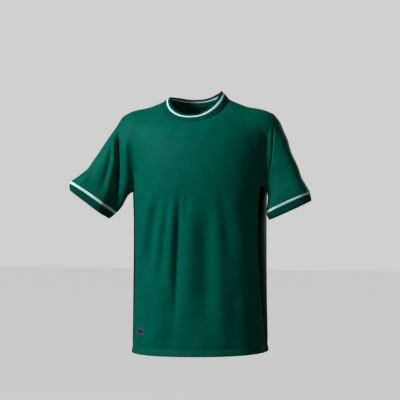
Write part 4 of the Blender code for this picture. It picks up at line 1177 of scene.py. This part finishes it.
def add_grid(name, points, closed=False, keep=None, flip=False, round_rows=False):
    """A mesh object from a grid of points in millimetres, with its length across and down as its UV map.

    keep says which squares are made. A closed grid joins its last column to its first, and with round_rows
    its last row to its first as well.
    """
    rows, columns = points.shape[:2]
    uv = arc_uv(np.concatenate([points, points[:1]]) if round_rows else points, closed)
    down = np.arange(rows if round_rows else rows - 1)
    i, j = np.meshgrid(down, np.arange(columns if closed else columns - 1), indexing="ij")
    corner_i = np.stack([i, i + 1, i + 1, i], axis=-1)
    corner_j = np.stack([j, j, j + 1, j + 1], axis=-1)
    if flip:
        corner_i = corner_i[..., ::-1]
        corner_j = corner_j[..., ::-1]
    if keep is not None:
        corner_i = corner_i[keep]
        corner_j = corner_j[keep]
    corner_i = corner_i.reshape(-1, 4)
    corner_j = corner_j.reshape(-1, 4)
    index = (corner_i % rows) * columns + corner_j % columns
    used, index = np.unique(index, return_inverse=True)
    mesh = bpy.data.meshes.new(name)
    mesh.from_pydata(settle(points.reshape(-1, 3)[used]) * MM, [], index.reshape(-1, 4).tolist())
    layer = mesh.uv_layers.new(name="cloth")
    layer.data.foreach_set("uv", uv[corner_i, corner_j].ravel().astype(np.float32))
    mesh.shade_smooth()
    thing = bpy.data.objects.new(name, mesh)
    bpy.context.scene.collection.objects.link(thing)
    return thing


def solidify(thing, thickness):
    """Gives an open sheet its thickness on the inner side."""
    modifier = thing.modifiers.new("thickness", "SOLIDIFY")
    modifier.thickness = thickness
    modifier.offset = -1.0
    return modifier


def facing_in(points, normals, closed):
    """True where a grid's squares would face against the given outward normals."""
    return float((grid_normals(points, closed) * normals).sum()) < 0


def finish_piece(thing, material, slot, node, flat, area):
    """Gives a piece its finish and body, and hides the CAD node that it stands for. The slot and the cut of
    cloth are not used.
    """
    thing.data.materials.append(material)
    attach(thing, "root")
    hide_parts(node)


def node(tree, kind, links=(), values=(), **settings):
    """Adds a shader node, sets its properties, then its sockets' values and the links into them."""
    made = tree.nodes.new(kind)
    for name, value in settings.items():
        setattr(made, name, value)
    for socket, value in dict(values).items():
        made.inputs[socket].default_value = value
    for socket, source in dict(links).items():
        tree.links.new(source, made.inputs[socket])
    return made


def new_material(name, values):
    """A Principled material with its uniform values set on the shader's own sockets."""
    material = bpy.data.materials.new(name)
    material.use_nodes = True
    tree = material.node_tree
    shader = tree.nodes["Principled BSDF"]
    for socket, value in values.items():
        shader.inputs[socket].default_value = value
    return material, tree, shader


def shade(colour, factor):
    """A colour made lighter or darker, with full opacity."""
    return (*(min(1.0, c * factor) for c in colour), 1.0)


def knit_material(name, colour, values, depth):
    """Filament polyester knit: loops in upright wales, as V-shaped bumps, over a faint unevenness of dye.

    A loop's height is |sin| of the length down plus the sideways distance from its wale's middle, so each
    wale is a row of Vs. The wale's edge is lower than its middle.
    """
    material, tree, shader = new_material(name, values)
    calc = functools.partial(node, tree, "ShaderNodeMath")
    place = node(tree, "ShaderNodeUVMap", uv_map="cloth")
    split = node(tree, "ShaderNodeSeparateXYZ", {0: place.outputs[0]})
    across = calc({0: split.outputs[0]}, {1: WALE * MM}, operation="DIVIDE")
    fraction = calc({0: across.outputs[0]}, operation="FRACT")
    centred = calc({0: fraction.outputs[0]}, {1: 0.5}, operation="SUBTRACT")
    aside = calc({0: centred.outputs[0]}, operation="ABSOLUTE")
    down = calc({0: split.outputs[1]}, {1: WALE * MM * LOOP_HEIGHT}, operation="DIVIDE")
    slant = calc({0: aside.outputs[0], 2: down.outputs[0]}, {1: LOOP_SLANT}, operation="MULTIPLY_ADD")
    turn = calc({0: slant.outputs[0]}, {1: math.pi}, operation="MULTIPLY")
    wave = calc({0: turn.outputs[0]}, operation="SINE")
    loop = calc({0: wave.outputs[0]}, operation="ABSOLUTE")
    edge = calc({0: aside.outputs[0]}, {1: 2.0}, operation="MULTIPLY")
    fall = calc({0: edge.outputs[0]}, {1: WALE_FALL}, operation="POWER")
    height = calc({0: loop.outputs[0], 1: fall.outputs[0]}, operation="SUBTRACT")
    strength = {"Strength": depth, "Distance": KNIT_BUMP}
    bump = node(tree, "ShaderNodeBump", {"Height": height.outputs[0]}, strength)
    tree.links.new(bump.outputs[0], shader.inputs["Normal"])

    where = node(tree, "ShaderNodeTexCoord")
    patches = {"Scale": DYE_SCALE, "Detail": 4.0}
    dye = node(tree, "ShaderNodeTexNoise", {"Vector": where.outputs["Object"]}, patches)
    limits = {"From Min": DYE_RANGE[0], "From Max": DYE_RANGE[1], "To Min": 0.0, "To Max": 1.0}
    ramp = node(tree, "ShaderNodeMapRange", {"Value": dye.outputs[0]}, limits)
    shades = {6: shade(colour, DYE_SHADES[0]), 7: shade(colour, DYE_SHADES[1])}
    mix = node(tree, "ShaderNodeMix", {"Factor": ramp.outputs[0]}, shades, data_type="RGBA")
    tree.links.new(mix.outputs[2], shader.inputs["Base Color"])
    return material


def thread_material(name, values):
    """Two-ply sewing thread: its twist is a slanting wave along the rod, once for each ply."""
    material, tree, shader = new_material(name, values)
    where = node(tree, "ShaderNodeTexCoord")
    # The wave texture turns once in 2 pi / 10 at a scale of 1.
    scale = {"Scale": 2 * math.pi / (10 * PLY * MM)}
    links = {"Vector": where.outputs["Object"]}
    twist = node(tree, "ShaderNodeTexWave", links, scale, bands_direction="DIAGONAL")
    strength = {"Strength": 0.3, "Distance": FINE_BUMP}
    bump = node(tree, "ShaderNodeBump", {"Height": twist.outputs[1]}, strength)
    tree.links.new(bump.outputs[0], shader.inputs["Normal"])
    return material


def label_material(name):
    """Damask-woven polyester label: navy ground with a narrow paler border a little in from its edge.

    Fine weft ribs run across it as a sine wave of the height. The distance to the edge is worked out from
    the length across and down, whose middle and start are known.
    """
    values = {
        "Roughness": 0.55,
        "IOR": 1.54,
        "Specular IOR Level": 0.4,
        "Sheen Weight": 0.1,
    }
    material, tree, shader = new_material(name, values)
    calc = functools.partial(node, tree, "ShaderNodeMath")
    half_width, half_height = (length / 2 * MM for length in LABEL_SIZE)
    place = node(tree, "ShaderNodeUVMap", uv_map="cloth")
    split = node(tree, "ShaderNodeSeparateXYZ", {0: place.outputs[0]})
    across = calc({0: split.outputs[0]}, operation="ABSOLUTE")
    side = calc({1: across.outputs[0]}, {0: half_width}, operation="SUBTRACT")
    centred = calc({0: split.outputs[1]}, {1: half_height}, operation="ADD")
    upright = calc({0: centred.outputs[0]}, operation="ABSOLUTE")
    top = calc({1: upright.outputs[0]}, {0: half_height}, operation="SUBTRACT")
    both = {0: side.outputs[0], 1: top.outputs[0]}
    edge = calc(both, {2: BORDER_CORNER * MM}, operation="SMOOTH_MIN")
    off = calc({0: edge.outputs[0]}, {1: BORDER_IN * MM}, operation="SUBTRACT")
    near = calc({0: off.outputs[0]}, operation="ABSOLUTE")
    limits = {"From Min": BORDER_HALF[0] * MM, "From Max": BORDER_HALF[1] * MM, "To Min": 1.0, "To Max": 0.0}
    border = node(tree, "ShaderNodeMapRange", {"Value": near.outputs[0]}, limits)
    colours = {6: (*linear("#141E33"), 1.0), 7: (*linear("#6F8794"), 1.0)}
    mix = node(tree, "ShaderNodeMix", {"Factor": border.outputs[0]}, colours, data_type="RGBA")
    tree.links.new(mix.outputs[2], shader.inputs["Base Color"])
    down = calc({0: split.outputs[1]}, {1: 2 * math.pi / (WEFT_PITCH * MM)}, operation="MULTIPLY")
    rib = calc({0: down.outputs[0]}, operation="SINE")
    strength = {"Strength": 0.25, "Distance": FINE_BUMP}
    bump = node(tree, "ShaderNodeBump", {"Height": rib.outputs[0]}, strength)
    tree.links.new(bump.outputs[0], shader.inputs["Normal"])
    return material


@functools.lru_cache(maxsize=1)
def dyed_finishes(green, rib_green, navy, white):
    """The materials for one set of colours."""
    made = {}
    # Interlock knit of trilobal polyester filament: a satin glow in the colour of the dye, soft at its edges.
    satin = {
        "Roughness": 0.48,
        "IOR": 1.57,
        "Specular IOR Level": 0.10,
        "Specular Tint": (*linear(GLOSS), 1.0),
        "Sheen Weight": 0.12,
        "Sheen Roughness": 0.45,
        "Sheen Tint": (*linear(SOFT_EDGE), 1.0),
    }
    made["green"] = knit_material("satin_interlock_green", green, satin, 0.25)
    # The same knit dyed navy, almost black.
    dark = {
        **satin,
        "Roughness": 0.6,
        "Specular IOR Level": 0.12,
        "Specular Tint": (*linear(NAVY_GLOSS), 1.0),
        "Sheen Weight": 0.0,
    }
    made["navy"] = knit_material("satin_interlock_navy", navy, dark, 0.25)
    # Rib knit of spun polyester: dull, with a trace of fuzz.
    dull = {
        "Roughness": 0.72,
        "IOR": 1.54,
        "Specular IOR Level": 0.25,
        "Specular Tint": (*linear(GLOSS), 1.0),
        "Sheen Weight": 0.10,
        "Sheen Roughness": 0.6,
        "Sheen Tint": (*linear(SOFT_EDGE), 1.0),
    }
    made["rib"] = knit_material("rib_knit_green", rib_green, dull, 0.2)
    # The same rib knit undyed: its gloss and fuzz are white.
    pale = {
        **dull,
        "Specular Tint": (1.0, 1.0, 1.0, 1.0),
        "Sheen Tint": (1.0, 1.0, 1.0, 1.0),
    }
    made["white"] = knit_material("rib_knit_white", white, pale, 0.2)
    # Sewing thread of spun polyester, dyed to match the knit: dull with a slight shine along it.
    thread = {
        "Base Color": shade(green, 0.9),
        "Roughness": 0.55,
        "IOR": 1.54,
        "Specular IOR Level": 0.35,
        "Specular Tint": (*linear(GLOSS), 1.0),
        "Sheen Weight": 0.15,
        "Sheen Tint": (*linear(SOFT_EDGE), 1.0),
    }
    made["thread"] = thread_material("polyester_sewing_thread", thread)
    made["label"] = label_material("woven_damask_label")
    return made


def finishes():
    """The materials in the colours that are set now, each named for what the real one is."""
    cloth = bpy.context.scene.jersey_cloth
    return dyed_finishes(*(tuple(c) for c in (cloth.green, cloth.rib_green, cloth.navy, cloth.white)))


def aimed(name, data, way, distance):
    """A lamp or camera that looks at the stage's aim from the way's direction."""
    thing = bpy.data.objects.new(name, data)
    thing.location = Vector(AIM) + way * distance
    thing.rotation_euler = way.to_track_quat("Z", "Y").to_euler()
    bpy.context.scene.collection.objects.link(thing)
    return thing


class JERSEY_OT_stage(bpy.types.Operator):
    """Makes the floor, the soft studio light and the camera"""

    bl_idname = "jersey.stage"
    bl_label = "Stage"

    def execute(self, context):
        stage = context.scene.jersey_stage
        self.lay_floor(context)
        self.light_world(context)
        for name, width, azimuth, elevation, distance, colour in LAMPS:
            data = bpy.data.lights.new(name, "AREA")
            data.energy = getattr(stage, name)
            data.shape = "DISK"
            data.size = width
            data.color = linear(colour)
            a, e = math.radians(azimuth), math.radians(elevation)
            way = Vector((math.sin(a) * math.cos(e), -math.cos(a) * math.cos(e), math.sin(e)))
            aimed(name, data, way, distance)

        data = bpy.data.cameras.new("camera")
        data.sensor_width = 36.0
        data.lens = data.sensor_width * stage.distance / stage.width
        way = Vector((math.sin(stage.azimuth), -math.cos(stage.azimuth), 0.0))
        context.scene.camera = aimed("camera", data, way, stage.distance)
        context.scene.view_settings.view_transform = "Standard"
        return {"FINISHED"}

    def lay_floor(self, context):
        """A square of matt painted board: pale grey, no gloss, and glowing so that it meets the backdrop."""
        mesh = bpy.data.meshes.new("floor")
        ends = (-FLOOR_HALF, FLOOR_HALF)
        mesh.from_pydata([(x, y, FLOOR_Z) for y in ends for x in ends], [], [(0, 1, 3, 2)])
        floor = bpy.data.objects.new("floor", mesh)
        context.scene.collection.objects.link(floor)
        values = {
            "Base Color": (*linear("#5A5A59"), 1.0),
            "Roughness": 1.0,
            "Specular IOR Level": 0.0,
            "Emission Color": (*linear(BACKDROP), 1.0),
            "Emission Strength": 0.92,
        }
        paint, _, _ = new_material("matt_floor_paint", values)
        mesh.materials.append(paint)
        floor.visible_diffuse = False
        floor.visible_glossy = False

    def light_world(self, context):
        """A plain backdrop that the camera sees bright, though it lights the jersey only dimly."""
        world = bpy.data.worlds.new("studio")
        context.scene.world = world
        world.use_nodes = True
        tree = world.node_tree
        tree.nodes.clear()
        path = node(tree, "ShaderNodeLightPath")
        light = {"Color": (*linear("#E8ECEC"), 1.0), "Strength": 0.05}
        dim = node(tree, "ShaderNodeBackground", values=light)
        view = {"Color": (*linear(BACKDROP), 1.0), "Strength": 1.0}
        seen = node(tree, "ShaderNodeBackground", values=view)
        links = {0: path.outputs["Is Camera Ray"], 1: dim.outputs[0], 2: seen.outputs[0]}
        mix = node(tree, "ShaderNodeMixShader", links)
        node(tree, "ShaderNodeOutputWorld", {"Surface": mix.outputs[0]})


class JERSEY_OT_body(bpy.types.Operator):
    """Makes the front, the back and the two side panels"""

    bl_idname = "jersey.body"
    bl_label = "Body panels"

    def execute(self, context):
        thickness = context.scene.jersey_cloth.thickness
        for panel, name, finish, slot, flat, area in BODY_CLOTHS:
            points, normals, keep = panels()[panel]
            inward = facing_in(points[CAP_ROWS:], normals[CAP_ROWS:], False)
            thing = add_grid(name, points, keep=keep, flip=inward)
            solidify(thing, thickness)
            finish_piece(thing, finishes()[finish], slot, panel, flat, area)
        return {"FINISHED"}


class JERSEY_OT_sleeves(bpy.types.Operator):
    """Makes the two raglan sleeves"""

    bl_idname = "jersey.sleeves"
    bl_label = "Sleeves"

    def execute(self, context):
        for side in SIDES:
            points, normals, keep = panels()["sleeve_" + side]
            inward = facing_in(points[2 * CAP_ROWS :], normals[2 * CAP_ROWS :], True)
            thing = add_grid("sleeve_cloth_" + side, points, closed=True, keep=keep, flip=inward)
            solidify(thing, context.scene.jersey_cloth.thickness)
            finish_piece(thing, finishes()["green"], "green_knit", "sleeve_" + side, *SLEEVE_CUTS[side])
        return {"FINISHED"}


def resampled(rows, count):
    """Closed rows of points spread evenly again: each row is read at equal shares of its length."""
    out = []
    for row in rows:
        row = np.concatenate([row, row[:1]])
        length = np.concatenate([[0], np.cumsum(np.linalg.norm(np.diff(row, axis=0), axis=1))])
        want = np.linspace(0, length[-1], count, endpoint=False)
        out.append(np.stack([np.interp(want, length, row[:, k]) for k in range(3)], axis=1))
    return np.array(out)


def rib_band(rows, normals, ribs, bulge=0.0, span=(0.0, 1.0)):
    """A band of rib knit carried round closed rows of points.

    Its section is a rounded oblong: along the band a cosine to the first of the powers, and through it a
    sine to the second. On its outer side each rib adds a cosine wave round the band.
    """
    columns = rows.shape[1]
    a = 2 * math.pi * (np.arange(BAND_TURNS) + 0.5) / BAND_TURNS
    c = np.sign(np.cos(a)) * np.abs(np.cos(a)) ** BAND_POWERS[0]
    s = np.sign(np.sin(a)) * np.abs(np.sin(a)) ** BAND_POWERS[1]
    at = (1 + c) / 2 * (len(rows) - 1)
    low = np.clip(at.astype(int), 0, len(rows) - 2)
    share = (at - low)[:, None, None]
    base = rows[low] + (rows[low + 1] - rows[low]) * share
    n = normals[low] + (normals[low + 1] - normals[low]) * share
    n = n / np.linalg.norm(n, axis=-1, keepdims=True)
    rib = np.cos(2 * math.pi * ribs * np.arange(columns) / columns)[None, :]
    out = np.maximum(s, 0.0)[:, None]
    place = span[0] + (span[1] - span[0]) * at / (len(rows) - 1)
    crown = (bulge * np.sin(math.pi * place))[:, None]
    height = (s[:, None] - 1) * BAND_WALL / 2 + out * RIB_RELIEF * rib + crown
    return base + height[..., None] * n


def band_cut(length, width):
    """A band's cut as its flat size and its true area, in metres."""
    return (length * MM, max(LEAST_CUT, width) * MM), length * width * MM * MM


class JERSEY_OT_cuffs(bpy.types.Operator):
    """Makes the white stripes and the rib cuffs"""

    bl_idname = "jersey.cuffs"
    bl_label = "Cuffs"

    def execute(self, context):
        for side in SIDES:
            rows = garment()["sleeve_" + side][0][2 * (CAP_ROWS + SLEEVE_ROWS) :: 2]
            length = np.linalg.norm(np.diff(rows[3], axis=0), axis=1).sum()
            ribs = round(length / RIB_PITCH)
            for name, cad, first, count, finish, slot in CUFF_BANDS:
                part = resampled(rows[first : first + count], ribs * RIB_POINTS)
                n = grid_normals(np.concatenate([part, part[-1:] * 2 - part[-2:-1]]), True)[:-1]
                if (n * (part - part.mean(axis=1, keepdims=True))).sum() < 0:
                    n = -n
                band = rib_band(part, n, ribs) + n.mean(axis=0) * BAND_OFF
                thing = add_grid(name + side, band, closed=True, round_rows=True)
                face_out(thing)
                width = float(np.linalg.norm(np.diff(part, axis=0), axis=-1).sum(axis=0).mean())
                finish_piece(thing, finishes()[finish], slot, cad + side, *band_cut(length, width))
        return {"FINISHED"}


def face_out(thing):
    """Turns a closed mesh's faces outwards where its volume comes out negative."""
    mesh = thing.data
    mesh.calc_loop_triangles()
    p = np.zeros(len(mesh.vertices) * 3, np.float32)
    t = np.zeros(len(mesh.loop_triangles) * 3, np.int32)
    mesh.vertices.foreach_get("co", p)
    mesh.loop_triangles.foreach_get("vertices", t)
    a, b, c = p.reshape(-1, 3)[t.reshape(-1, 3)].astype(float).transpose(1, 0, 2)
    if (a * np.cross(b, c)).sum() < 0:
        mesh.flip_normals()


class JERSEY_OT_collar(bpy.types.Operator):
    """Makes the crew-neck rib collar in its three bands"""

    bl_idname = "jersey.collar"
    bl_label = "Collar"

    def execute(self, context):
        bearing = np.linspace(0, 360, COLLAR_COLUMNS, endpoint=False)
        seam = neckline(bearing)
        run = length_along(np.concatenate([seam, seam[:1]])[None], 1)[0]
        ribs = round(run[-1] / RIB_PITCH)
        outer = resampled(seam[None], ribs * RIB_POINTS)[0]
        edge = collar_edge(bearing)
        edge = np.concatenate([edge, edge[:1]])
        want = np.linspace(0, run[-1], ribs * RIB_POINTS, endpoint=False)
        inner = np.stack([np.interp(want, run, edge[:, k]) for k in range(3)], axis=1)
        n = grid_normals(np.array([outer, (outer + inner) / 2, inner]), True)[1]
        if n[0, 0] < 0:
            n = -n
        for cad, name, a, b in COLLAR_BANDS:
            rows = np.array([outer + (inner - outer) * s for s in np.linspace(a, b, COLLAR_ROWS)])
            finish, slot = ("white", "white_knit") if name == "neck_stripe" else ("rib", "green_rib")
            band = rib_band(rows, np.broadcast_to(n, rows.shape), ribs, COLLAR_BULGE, (a, b)) + BAND_OFF * n
            thing = add_grid(name, band, closed=True, round_rows=True)
            face_out(thing)
            width = float(np.linalg.norm(rows[-1] - rows[0], axis=-1).mean())
            middle = float(np.linalg.norm(np.diff(rows[COLLAR_ROWS // 2], axis=0), axis=1).sum())
            finish_piece(thing, finishes()[finish], slot, cad, *band_cut(middle, width))
        return {"FINISHED"}


def line_across(points, normals, distance, from_end):
    """The line that crosses a grid's columns at a distance from its first row, or from its last."""
    if from_end:
        points = points[::-1]
        normals = normals[::-1]
    down = length_along(points, 0)
    i = (down < distance).sum(axis=0) - 1
    column = np.arange(points.shape[1])
    share = ((distance - down[i, column]) / (down[i + 1, column] - down[i, column]))[:, None]
    return tuple(g[i, column] + (g[i + 1, column] - g[i, column]) * share for g in (points, normals))


def stitch_row(line, normals, stitch, thread):
    """Points and faces of a row of stitches: short rods of thread that arch by half a sine wave and thin out
    at their ends. A rod's radius falls as the square root of 1.05 - |2t - 1|^4."""
    run = np.concatenate([[0], np.cumsum(np.linalg.norm(np.diff(line, axis=0), axis=1))])
    count = max(1, int(run[-1] / stitch))
    t = np.linspace(0, 1, STITCH_SECTIONS)
    at = (np.arange(count)[:, None] + 0.5 + (t - 0.5) * STITCH_SHARE) * run[-1] / count
    place = np.stack([np.interp(at, run, line[:, k]) for k in range(3)], axis=-1)
    n = np.stack([np.interp(at, run, normals[:, k]) for k in range(3)], axis=-1)
    n = n / np.linalg.norm(n, axis=-1, keepdims=True)
    ahead = np.gradient(place, axis=1)
    side = np.cross(n, ahead)
    side = side / np.linalg.norm(side, axis=-1, keepdims=True)
    radius = thread / 2 * np.sqrt(1.05 - np.abs(2 * t - 1) ** 4)
    place = place + n * (thread * (STITCH_ARCH * np.sin(math.pi * t) - STITCH_DEPTH))[None, :, None]
    a = 2 * math.pi * np.arange(STITCH_SIDES) / STITCH_SIDES
    ring_at = np.cos(a)[:, None] * side[:, :, None] + np.sin(a)[:, None] * n[:, :, None]
    points = place[:, :, None] + radius[None, :, None, None] * ring_at
    one = STITCH_SECTIONS * STITCH_SIDES
    i, j = np.meshgrid(np.arange(STITCH_SECTIONS - 1), np.arange(STITCH_SIDES), indexing="ij")
    k = (j + 1) % STITCH_SIDES
    here, after = i * STITCH_SIDES, (i + 1) * STITCH_SIDES
    quad = np.stack([here + j, here + k, after + k, after + j], axis=-1).reshape(-1, 4)
    sides = (quad[None] + (np.arange(count) * one)[:, None, None]).reshape(-1, 4).tolist()
    cap = np.arange(STITCH_SIDES)
    first = np.arange(count)[:, None] * one
    ends = np.concatenate([cap[::-1] + first, cap + one - STITCH_SIDES + first]).tolist()
    return points.reshape(-1, 3), sides + ends


def add_stitches(name, rows, panel, cloth):
    """A mesh of all a panel's stitch rows, each given as its line, normals and stitch length in mm."""
    sewing = bpy.context.scene.jersey_sewing
    points, faces, start = [], [], 0
    for line, normals, length in rows:
        p, f = stitch_row(line, normals, length, sewing.thread / MM)
        points.append(p)
        faces.extend([[k + start for k in face] for face in f])
        start += len(p)
    mesh = bpy.data.meshes.new(name)
    mesh.from_pydata(settle(np.concatenate(points)) * MM, [], faces)
    mesh.shade_smooth()
    thing = bpy.data.objects.new(name, mesh)
    bpy.context.scene.collection.objects.link(thing)
    face_out(thing)
    mesh.materials.append(finishes()["thread"])
    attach(thing, "root")
    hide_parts(panel)
    thing.parent = bpy.data.objects[cloth]
    return thing


class JERSEY_OT_stitching(bpy.types.Operator):
    """Sews the hem's two rows all round, a row below the collar and a row above each cuff"""

    bl_idname = "jersey.stitching"
    bl_label = "Stitching"

    def execute(self, context):
        length = context.scene.jersey_sewing.stitch / MM
        cloths = [row[:2] for row in BODY_CLOTHS]
        for panel, cloth in cloths + [("sleeve_" + side, "sleeve_cloth_" + side) for side in SIDES]:
            points, normals, _ = panels()[panel]
            rows = []
            if "sleeve" in panel:
                m = 2 * sum(ARM_COLUMNS) + 1
                rows.append((*line_across(points[:, :m], normals[:, :m], COLLAR_ROW_DOWN, False), length))
                line, n = line_across(points, normals, CUFF_ROW_UP, True)
                rows.append((np.concatenate([line, line[:1]]), np.concatenate([n, n[:1]]), length))
            else:
                rows += [(*line_across(points, normals, up, True), length) for up in HEM_ROWS_UP]
                inner = slice(WRAP_COLUMNS, -WRAP_COLUMNS) if panel == "back" else slice(None)
                if panel in ("front", "back"):
                    line, n = line_across(points[:, inner], normals[:, inner], COLLAR_ROW_DOWN, False)
                    rows.append((line, n, length))
            add_stitches(cloth.replace("cloth", "stitches"), rows, panel, cloth)
        return {"FINISHED"}


class JERSEY_OT_label(bpy.types.Operator):
    """Makes the small woven label, plain with a paler border, and the stitches that hold its two ends"""

    bl_idname = "jersey.label"
    bl_label = "Hem label"

    def execute(self, context):
        rows, columns = LABEL_GRID
        u, v = np.meshgrid(np.linspace(-1, 1, columns + 1), np.linspace(1, -1, rows + 1))
        m = np.maximum(np.maximum(np.abs(u), np.abs(v)), 1e-6)
        corner = np.abs(u / m) ** LABEL_ROUND + np.abs(v / m) ** LABEL_ROUND
        fit = np.maximum(corner, 1e-9) ** (-1 / LABEL_ROUND)
        x = LABEL_AT[0] + u * fit * LABEL_SIZE[0] / 2 * LABEL_LEAN
        z = LABEL_AT[1] + v * fit * LABEL_SIZE[1] / 2
        points, normals = draped_body(body_point(x, z, True), drape_now())
        # Its face stands off the cloth by its wall and falls at the very edge, where m is 1, nearly to its
        # cloth's share of that, as the square root of 1 - 0.98 m^16.
        stand = LABEL_CLOTH + (1 - LABEL_CLOTH) * np.sqrt(1 - 0.98 * m**16)
        points = points + (LABEL_WALL * stand)[..., None] * normals
        thing = add_grid("hem_label_patch", points, flip=facing_in(points, normals, False))
        solidify(thing, LABEL_WALL * MM * LABEL_CLOTH)
        size = [float(np.linalg.norm(points[0, 0] - points[0, -1])), LABEL_SIZE[1]]
        finish_piece(thing, finishes()["label"], "label_weave", "hem_label", *band_cut(*size))
        sewn = slice(LABEL_STITCH_LEAVE, -LABEL_STITCH_LEAVE)
        ends = [
            (points[sewn, column], normals[sewn, column], LABEL_STITCH)
            for column in (LABEL_STITCH_IN, columns - LABEL_STITCH_IN)
        ]
        add_stitches("hem_label_stitches", ends, "hem_label", "hem_label_patch")
        return {"FINISHED"}


class JERSEY_PT_panel(bpy.types.Panel):
    """Lists the jersey's pieces in the sidebar"""

    bl_label = "Football jersey"
    bl_idname = "JERSEY_PT_panel"
    bl_space_type = "VIEW_3D"
    bl_region_type = "UI"
    bl_category = "Jersey"

    def draw(self, context):
        for group in ("jersey_cloth", "jersey_sewing", "jersey_stage"):
            settings = getattr(context.scene, group)
            for name in settings.__annotations__:
                self.layout.prop(settings, name)
        for step in STEPS:
            self.layout.operator(step.bl_idname)


GROUPS = (JerseyCloth, JerseySewing, JerseyStage)
STEPS = (
    JERSEY_OT_stage,
    JERSEY_OT_body,
    JERSEY_OT_sleeves,
    JERSEY_OT_cuffs,
    JERSEY_OT_collar,
    JERSEY_OT_stitching,
    JERSEY_OT_label,
)


def register():
    """Makes the classes and their settings known to Blender."""
    for kind in GROUPS + STEPS + (JERSEY_PT_panel,):
        bpy.utils.register_class(kind)
    bpy.types.Scene.jersey_cloth = PointerProperty(type=JerseyCloth)
    bpy.types.Scene.jersey_sewing = PointerProperty(type=JerseySewing)
    bpy.types.Scene.jersey_stage = PointerProperty(type=JerseyStage)


def unregister():
    """Takes the classes and their settings out of Blender again."""
    del bpy.types.Scene.jersey_stage
    del bpy.types.Scene.jersey_sewing
    del bpy.types.Scene.jersey_cloth
    for kind in reversed(GROUPS + STEPS + (JERSEY_PT_panel,)):
        bpy.utils.unregister_class(kind)


def main():
    """Registers the classes and runs every step, which makes the stage and every piece."""
    register()
    for step in STEPS:
        area, name = step.bl_idname.split(".")
        getattr(getattr(bpy.ops, area), name)()


if __name__ == "__main__":
    main()
